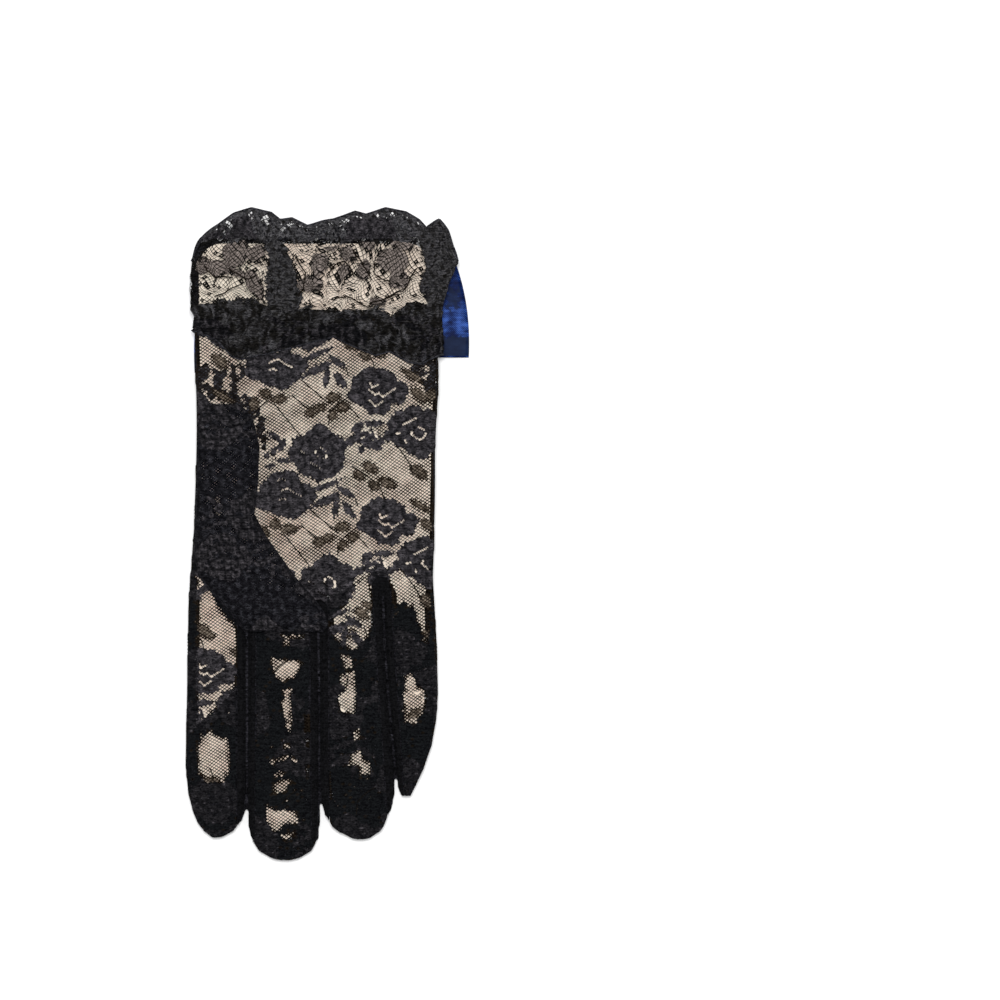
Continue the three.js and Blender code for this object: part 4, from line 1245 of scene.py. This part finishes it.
# Open spots in the worked border, and places where the card shines through
SPARKS = table("x y r", [
    (233, 227, 7), (230, 236, 6), (243, 233, 4), (256, 220, 4), (270, 224, 6), (290, 234, 7),
    (346, 230, 6), (355, 227, 3), (372, 237, 4), (393, 220, 3), (416, 242, 4), (345, 319, 5),
    (386, 316, 4), (397, 308, 7), (412, 298, 4), (425, 296, 4), (430, 317, 4), (410, 256, 8),
    (409, 272, 6), (288, 252, 3), (301, 283, 3),
])
PLEAT = [(270, 244), (283, 244), (293, 262), (300, 282), (303, 302), (300, 325), (266, 325), (270, 300)]
DARK_SIDE = [(418, 236), (428, 262), (420, 290), (436, 318), (500, 330), (500, 200), (440, 200)]
WINDOW_TOP = 243.5
WINDOW_FOOT = [
    (190, 306), (230, 303), (262, 304), (270, 310), (300, 309), (318, 311), (335, 309), (362, 312),
    (378, 309), (396, 315), (412, 303), (440, 306),
]
FRILL_MIRROR = 640.0  # the back's chart is the front's, turned over about half this pixel


def frill_chart(s, t):
    """A place's pixel on the front's chart. The back takes the front's chart turned over."""
    x, y, _, front = ruffle_surface(s, t)
    px, py = to_px(x, y)
    return np.where(front, px, FRILL_MIRROR - px), py, front


def window_foot(px):
    return np.interp(px, [p[0] for p in WINDOW_FOOT], [p[1] for p in WINDOW_FOOT])


def dark_depth(px, py):
    """Distance into the dark pleat or the dark right side."""
    return np.maximum(outline_distance(px, py, PLEAT), outline_distance(px, py, DARK_SIDE))


def petal_depth(px, py):
    """Distance into the sheer petals, in pixels."""
    depth = np.full(px.shape, FAR)
    for leaf in PETALS:
        depth = np.maximum(depth, leaf_distance(px, py, leaf, PETAL_POWER))
    return depth


def petal_field(s, t):
    px, py, _ = frill_chart(s, t)
    shown = np.minimum(np.minimum(py - WINDOW_TOP, window_foot(px) - py), -dark_depth(px, py))
    return np.minimum(petal_depth(px, py) + 0.6 * smooth_noise(s, t, 1.8, 57), shown) * PIXEL


def spark_depth(s, t):
    """Distance into the open spots, in pixels. They lie over each other in front and at the back."""
    x, y, _, _ = ruffle_surface(s, t)
    px, py = to_px(x, y)
    depth = np.full(px.shape, FAR)
    for spark in SPARKS:
        depth = np.maximum(depth, spark["r"] - np.hypot(px - spark["x"], py - spark["y"]))
    return np.minimum(depth, 2.5) - 2.2 + 3.6 * smooth_noise(s, t, 1.7, 54)


def painted_gather_light(s, t):
    """Painted highlights and shade in streaks along the gathers, which run from the hem to the gathering thread.
    """
    streaks = 0.7 * smooth_noise(1.7 * s, 0.6 * t, 4.5, 55)
    return np.clip(0.16 + streaks + 0.4 * smooth_noise(s, t, 1.5, 56), 0, 1)


# The palm's chart on the flat ruffle, turned a quarter: its pixel at the ruffle's corner
RUFFLE_CHART = {"x": 300.0, "y": 345.0}


def ruffle_chart(s, t):
    return RUFFLE_CHART["x"] + t / PIXEL, RUFFLE_CHART["y"] + s / PIXEL


def ruffle_puff(s, t):
    return puff_at(*ruffle_chart(s, t))


def ruffle_rose_field(s, t):
    """Roses worked on the ruffle's border and on its heading, but not in between."""
    _, py, _ = frill_chart(s, t)
    worked_rows = np.maximum(GATHER_T - 1 - t, np.minimum((WINDOW_TOP - 1 - py) * PIXEL, ALONG - 1.2 - t))
    roses = sample_raster(whole_rose_map, *ruffle_chart(s, t)) * PIXEL + 0.3 * smooth_noise(s, t, 1.6, 58)
    return np.minimum(np.minimum(np.minimum(roses, worked_rows), t - 1.0), -spark_depth(s, t) * PIXEL)


def ruffle_rose_tone(s, t):
    # Painted light: petals lighter where they puff and painted shade in their creases; on the heading also the
    # gathers' painted streaks
    share = np.where(t < GATHER_T, painted_gather_light(s, t), 0.6 + 0.5 * smooth_noise(s, t, 1.5, 59))
    return np.clip((0.4 + 0.6 * ruffle_puff(s, t)) * share, 0, 1)


def frill_holes(s, t):
    px, py, _ = frill_chart(s, t)
    hole = 0.81 + 0.09 * smooth_noise(s, t, 3, 40)
    tone = np.zeros(s.shape)
    long_wrinkle = np.abs(smooth_noise(s * 0.55, t, 5.5, 46)) < 0.07
    wrinkle = long_wrinkle | (np.abs(smooth_noise(s, t, 8, 47)) < 0.035)
    hole = np.where(wrinkle, 0.3, hole)
    petal = petal_depth(px, py)
    hole = np.where(petal > 0, 0.80 + 0.05 * smooth_noise(s, t, 2, 48), hole)
    hole = np.where(np.abs(petal) < 0.45, 0.3, hole)
    border = py < WINDOW_TOP + 0.8 * np.sin(px / 9)
    hole = np.where(border, 0.28 + 0.30 * smooth_noise(s, t, 2.2, 49), hole)
    tone = np.where(border, 0.65 + 0.60 * smooth_noise(s, t, 1.6, 50), tone)
    dark = dark_depth(px, py) > 0
    hole = np.where(dark, 0.12 + 0.12 * smooth_noise(s, t, 2.5, 51), hole)
    tone = np.where(dark, 0.40 + 0.45 * smooth_noise(s, t, 1.6, 52), tone)
    low = py > window_foot(px) + 2.5 * smooth_noise(s, t, 6, 45)
    hole = np.where(low, 0.15 + 0.25 * smooth_noise(s, t, 2, 53), hole)
    # Below the windows the net takes the gathers' painted streaks of light and shade
    tone = np.where(low, painted_gather_light(s, t), tone)
    hole = np.where(spark_depth(s, t) > 0, 0.76, hole)
    hole = np.where(t > ALONG - 0.9, 0.0, hole)
    return np.clip(hole, 0.0, 0.9), np.clip(tone, 0, 1)


def solid_weave(s, t):
    return np.zeros(s.shape), np.clip(0.3 + 0.5 * smooth_noise(s, t, 4, 111), 0, 1)


def under_heading(s, t):
    px, py, _ = frill_chart(s, t)
    return (py > window_foot(px) + 1.5) & (t > 0.6)


def under_pleat(s, t):
    px, py, _ = frill_chart(s, t)
    border = (py < WINDOW_TOP - 1) & (t < ALONG - 1.2)
    return ((dark_depth(px, py) > 1.0) | border) & (py < 325) & (spark_depth(s, t) < 0)


ruffle = net_sheet(
    "ruffle_lace", (0, -0.4), (AROUND, ALONG + 0.4), lambda s, t: s > -1, frill_holes,
    wandering(ruffle_place(0.1, 1.0), 0.8, 101), pitch=0.86,
)
dress(ruffle, FRILL_YARN, ["wrist_ruffle"])
heading = net_sheet(
    "heading_layer", (0, 0.6), (AROUND, 30.0), under_heading, solid_weave, ruffle_place(-0.6, 0.9)
)
dress(heading, DEEP_YARN)
layer = net_sheet(
    "ruffle_layer", (0, 14.0), (AROUND, ALONG), under_pleat, solid_weave, ruffle_place(-0.55, 1.0)
)
dress(layer, DEEP_YARN)


def ruffle_rose_place(s, t):
    return ruffle_place(0.3, 1.0)(s, t) + PUFF * ruffle_puff(s, t)[:, None] * np.array([0, 0, 1])


ruffle_roses = patch_sheet(
    "ruffle_roses", (0.2, 0.8), (AROUND - 0.2, ALONG), 0.42, ruffle_rose_field,
    ruffle_rose_place, ruffle_rose_tone,
)
dress(ruffle_roses, ROSE_YARN)
ruffle_petals = patch_sheet(
    "ruffle_petals", (0.2, 14.0), (AROUND - 0.2, 44.0), 0.4, petal_field,
    ruffle_place(-0.15, 1.0), patchy(2.5, 60),
)
dress(ruffle_petals, PETAL_YARN)

# Cords of the ruffle: its two edges and the swirls in its lace, found on the sheet by their pixels

finder_s, finder_t = np.meshgrid(np.linspace(0, AROUND, 900), np.linspace(0, ALONG, 260), indexing="ij")
finder_px, finder_py, finder_front = frill_chart(finder_s, finder_t)


def find_on_front(px, py):
    """The flat places on the ruffle's front that show at the pixels."""
    found = []
    for ax, ay in zip(px, py):
        distance = np.where(finder_front, np.hypot(finder_px - ax, finder_py - ay), np.inf)
        found.append(np.unravel_index(np.argmin(distance), distance.shape))
    rows = tuple(np.array(found).T)
    return finder_s[rows], finder_t[rows]


rim_s = np.linspace(0, AROUND, 420)
rims = [ruffle_place(0.1, 1.0)(rim_s, np.full(rim_s.shape, t)) for t in (ALONG, 0.0)]
ruffle_edges = cord_piece("ruffle_edges", rims, 0.3, DEEP_YARN, 0.6)
swirls = [ruffle_place(0.25, 1.0)(*find_on_front(*along(line, 2.2))) for line in FRILL_LINES]
ruffle_cords = cord_piece("ruffle_cords", swirls, 0.24, NET_YARN, 0.0)

# Bow

RIBBON = 0.5
BOW_Y, KNOT_X, KNOT_HALF, KNOT_PINCH = 79.0, 2.0, 5.0, 6.5
LOOPS = {
    "right": {"reach": 54.2, "side": 1, "low": 62.3, "high": 99.5, "taper_high": 6.6, "taper_low": 0.4},
    "left": {"reach": -43.2, "side": -1, "low": 57.0, "high": 94.0, "taper_high": 4.5, "taper_low": 0.5},
}
BAND = (0.02, 0.19)  # the navy band, as shares of the ribbon's width from its lower edge
# SHADOW is a painted shadow on the right loop
SHADOW = {"x": 452, "y": 298, "rx": 9, "ry": 13}  # a darker spot on the right loop, in pixels
FOLD_RADIUS = 0.8  # the ribbon's turn at a loop's end
LOOP_GRID = (150, 70)  # points along the ribbon and across it


def bow_loop(name, loop):
    """A ribbon that runs out from the knot along the floor, turns over and comes back above itself."""
    columns, rows = LOOP_GRID
    fold_radius = FOLD_RADIUS
    start = KNOT_X + loop["side"] * (KNOT_HALF + 0.3)
    length = abs(loop["reach"] - start) - fold_radius - 0.5
    whole = 2 * length + math.pi * fold_radius
    u, v = np.meshgrid(np.linspace(0, 1, columns), np.linspace(0, 1, rows), indexing="ij")
    s = u * whole
    bend = np.clip((s - length) / fold_radius, 0, math.pi)
    run = np.where(s < length, s, np.where(s > whole - length, whole - s, length))
    share = run / length
    width = smoothstep(-0.15, 0.75, share)
    low = (BOW_Y - KNOT_PINCH) * (1 - width) + loop["low"] * width
    high = (BOW_Y + KNOT_PINCH) * (1 - width) + loop["high"] * width
    y = low + (high - low) * v
    drawn = (loop["taper_high"] * v ** 2.4 + loop["taper_low"] * (1 - v) ** 4) * share
    x = start + loop["side"] * (run + fold_radius * np.sin(bend) - drawn)
    z = 0.5 + fold_radius - fold_radius * np.cos(bend)
    pucker = np.sin(v * 2 * math.pi * 5.5) * 0.28 * (1 - smoothstep(0.0, 0.6, share))
    z = z + pucker + 0.12 * smooth_noise(x, y, 9, 91) * np.sign(bend - math.pi / 2)
    points = np.stack([x + SHIFT[0], y + SHIFT[1], np.maximum(z, 0.3)], -1).reshape(-1, 3)
    index = np.arange(columns * rows).reshape(columns, rows)
    quads = np.stack([index[:-1, :-1], index[1:, :-1], index[1:, 1:], index[:-1, 1:]], -1).reshape(-1, 4)
    middle = points[quads].mean(1)
    across = ((v[:-1, :-1] + v[1:, 1:]) / 2).ravel()
    px, py = to_px(middle[:, 0], middle[:, 1])
    band_top = BAND[1] + 0.012 * smooth_noise(middle[:, 0], middle[:, 1], 0.9, 95)
    tone = ((across > BAND[0]) & (across < band_top)).astype(float)
    # Painted shadow: faces in the spot take tone 0.8, nearly the navy's dark colour
    spot = np.hypot((px - SHADOW["x"]) / SHADOW["rx"], (py - SHADOW["y"]) / SHADOW["ry"])
    spot = spot + 0.5 * smooth_noise(middle[:, 0], middle[:, 1], 2, 96)
    obj = make_mesh(name, points, quads, np.maximum(tone, 0.8 * (spot < 0.8)))
    solid = obj.modifiers.new("thickness", "SOLIDIFY")
    solid.thickness = RIBBON * MM
    solid.offset = 0
    return obj


bow_right = dress(bow_loop("bow_loop_right_satin", LOOPS["right"]), SATIN, ["bow_loop_right"])
bow_left = dress(bow_loop("bow_loop_left_satin", LOOPS["left"]), SATIN, ["bow_loop_left"])
dress_node("bow_knot", SATIN)
dress_node("card_form", CARD)

# Lace's area is what its threads cover, measured on its own mesh, so that it can't be tested against that mesh.
# The areas are not kept.


def declare(obj, plain_strip=False):
    area = None if plain_strip else surface_area(obj)


declare(palm_net)
declare(back_net)
declare(folds_and_inner_shade)
declare(strip_folds)
declare(thumb_lace)
declare(thumb_back)
declare(ruffle)
declare(heading)
declare(layer)
declare(bow_right, plain_strip=True)
declare(bow_left, plain_strip=True)

# Floor, light and camera

FLOOR_SIZE = 6
FLOOR_Z = -0.0002
WORLD_STRENGTH = 0.6
KEY_LIGHT = {"place": (0.05, 0.16, 1.78), "size": 0.3, "watts": 27}

bpy.ops.mesh.primitive_plane_add(size=FLOOR_SIZE, location=(0, 0, FLOOR_Z))
floor = bpy.context.object
floor.name = "floor"
floor_material, floor_tree, floor_shader = node_material("white_floor", 0.9, 0.1)
floor_shader.inputs["Base Color"].default_value = (0.93, 0.93, 0.93, 1)
floor.data.materials.append(floor_material)

world = bpy.data.worlds.new("studio")
bpy.context.scene.world = world
world.use_nodes = True
world.node_tree.nodes["Background"].inputs["Color"].default_value = (1, 1, 1, 1)
world.node_tree.nodes["Background"].inputs["Strength"].default_value = WORLD_STRENGTH


def area_light(name, place, size, watts):
    light = bpy.data.lights.new(name, "AREA")
    light.shape = "DISK"
    light.size = size
    light.energy = watts
    obj = bpy.data.objects.new(name, light)
    obj.location = place
    obj.rotation_mode = "QUATERNION"
    obj.rotation_quaternion = Vector(place).to_track_quat("Z", "Y")
    bpy.context.scene.collection.objects.link(obj)


area_light("key", **KEY_LIGHT)

CAMERA_HEIGHT = 1.7
FRAME_PX = 1000
SENSOR = 36
camera_data = bpy.data.cameras.new("camera")
camera_data.sensor_width = SENSOR
camera_data.lens = SENSOR * CAMERA_HEIGHT / (FRAME_PX * PIXEL * MM)
camera_data.clip_end = 20
camera = bpy.data.objects.new("camera", camera_data)
centre_x, centre_y = to_mm(FRAME_PX / 2, FRAME_PX / 2)
camera.location = (float(centre_x) * MM, float(centre_y) * MM, CAMERA_HEIGHT)
bpy.context.scene.collection.objects.link(camera)
bpy.context.scene.camera = camera
bpy.context.scene.view_settings.view_transform = "Standard"
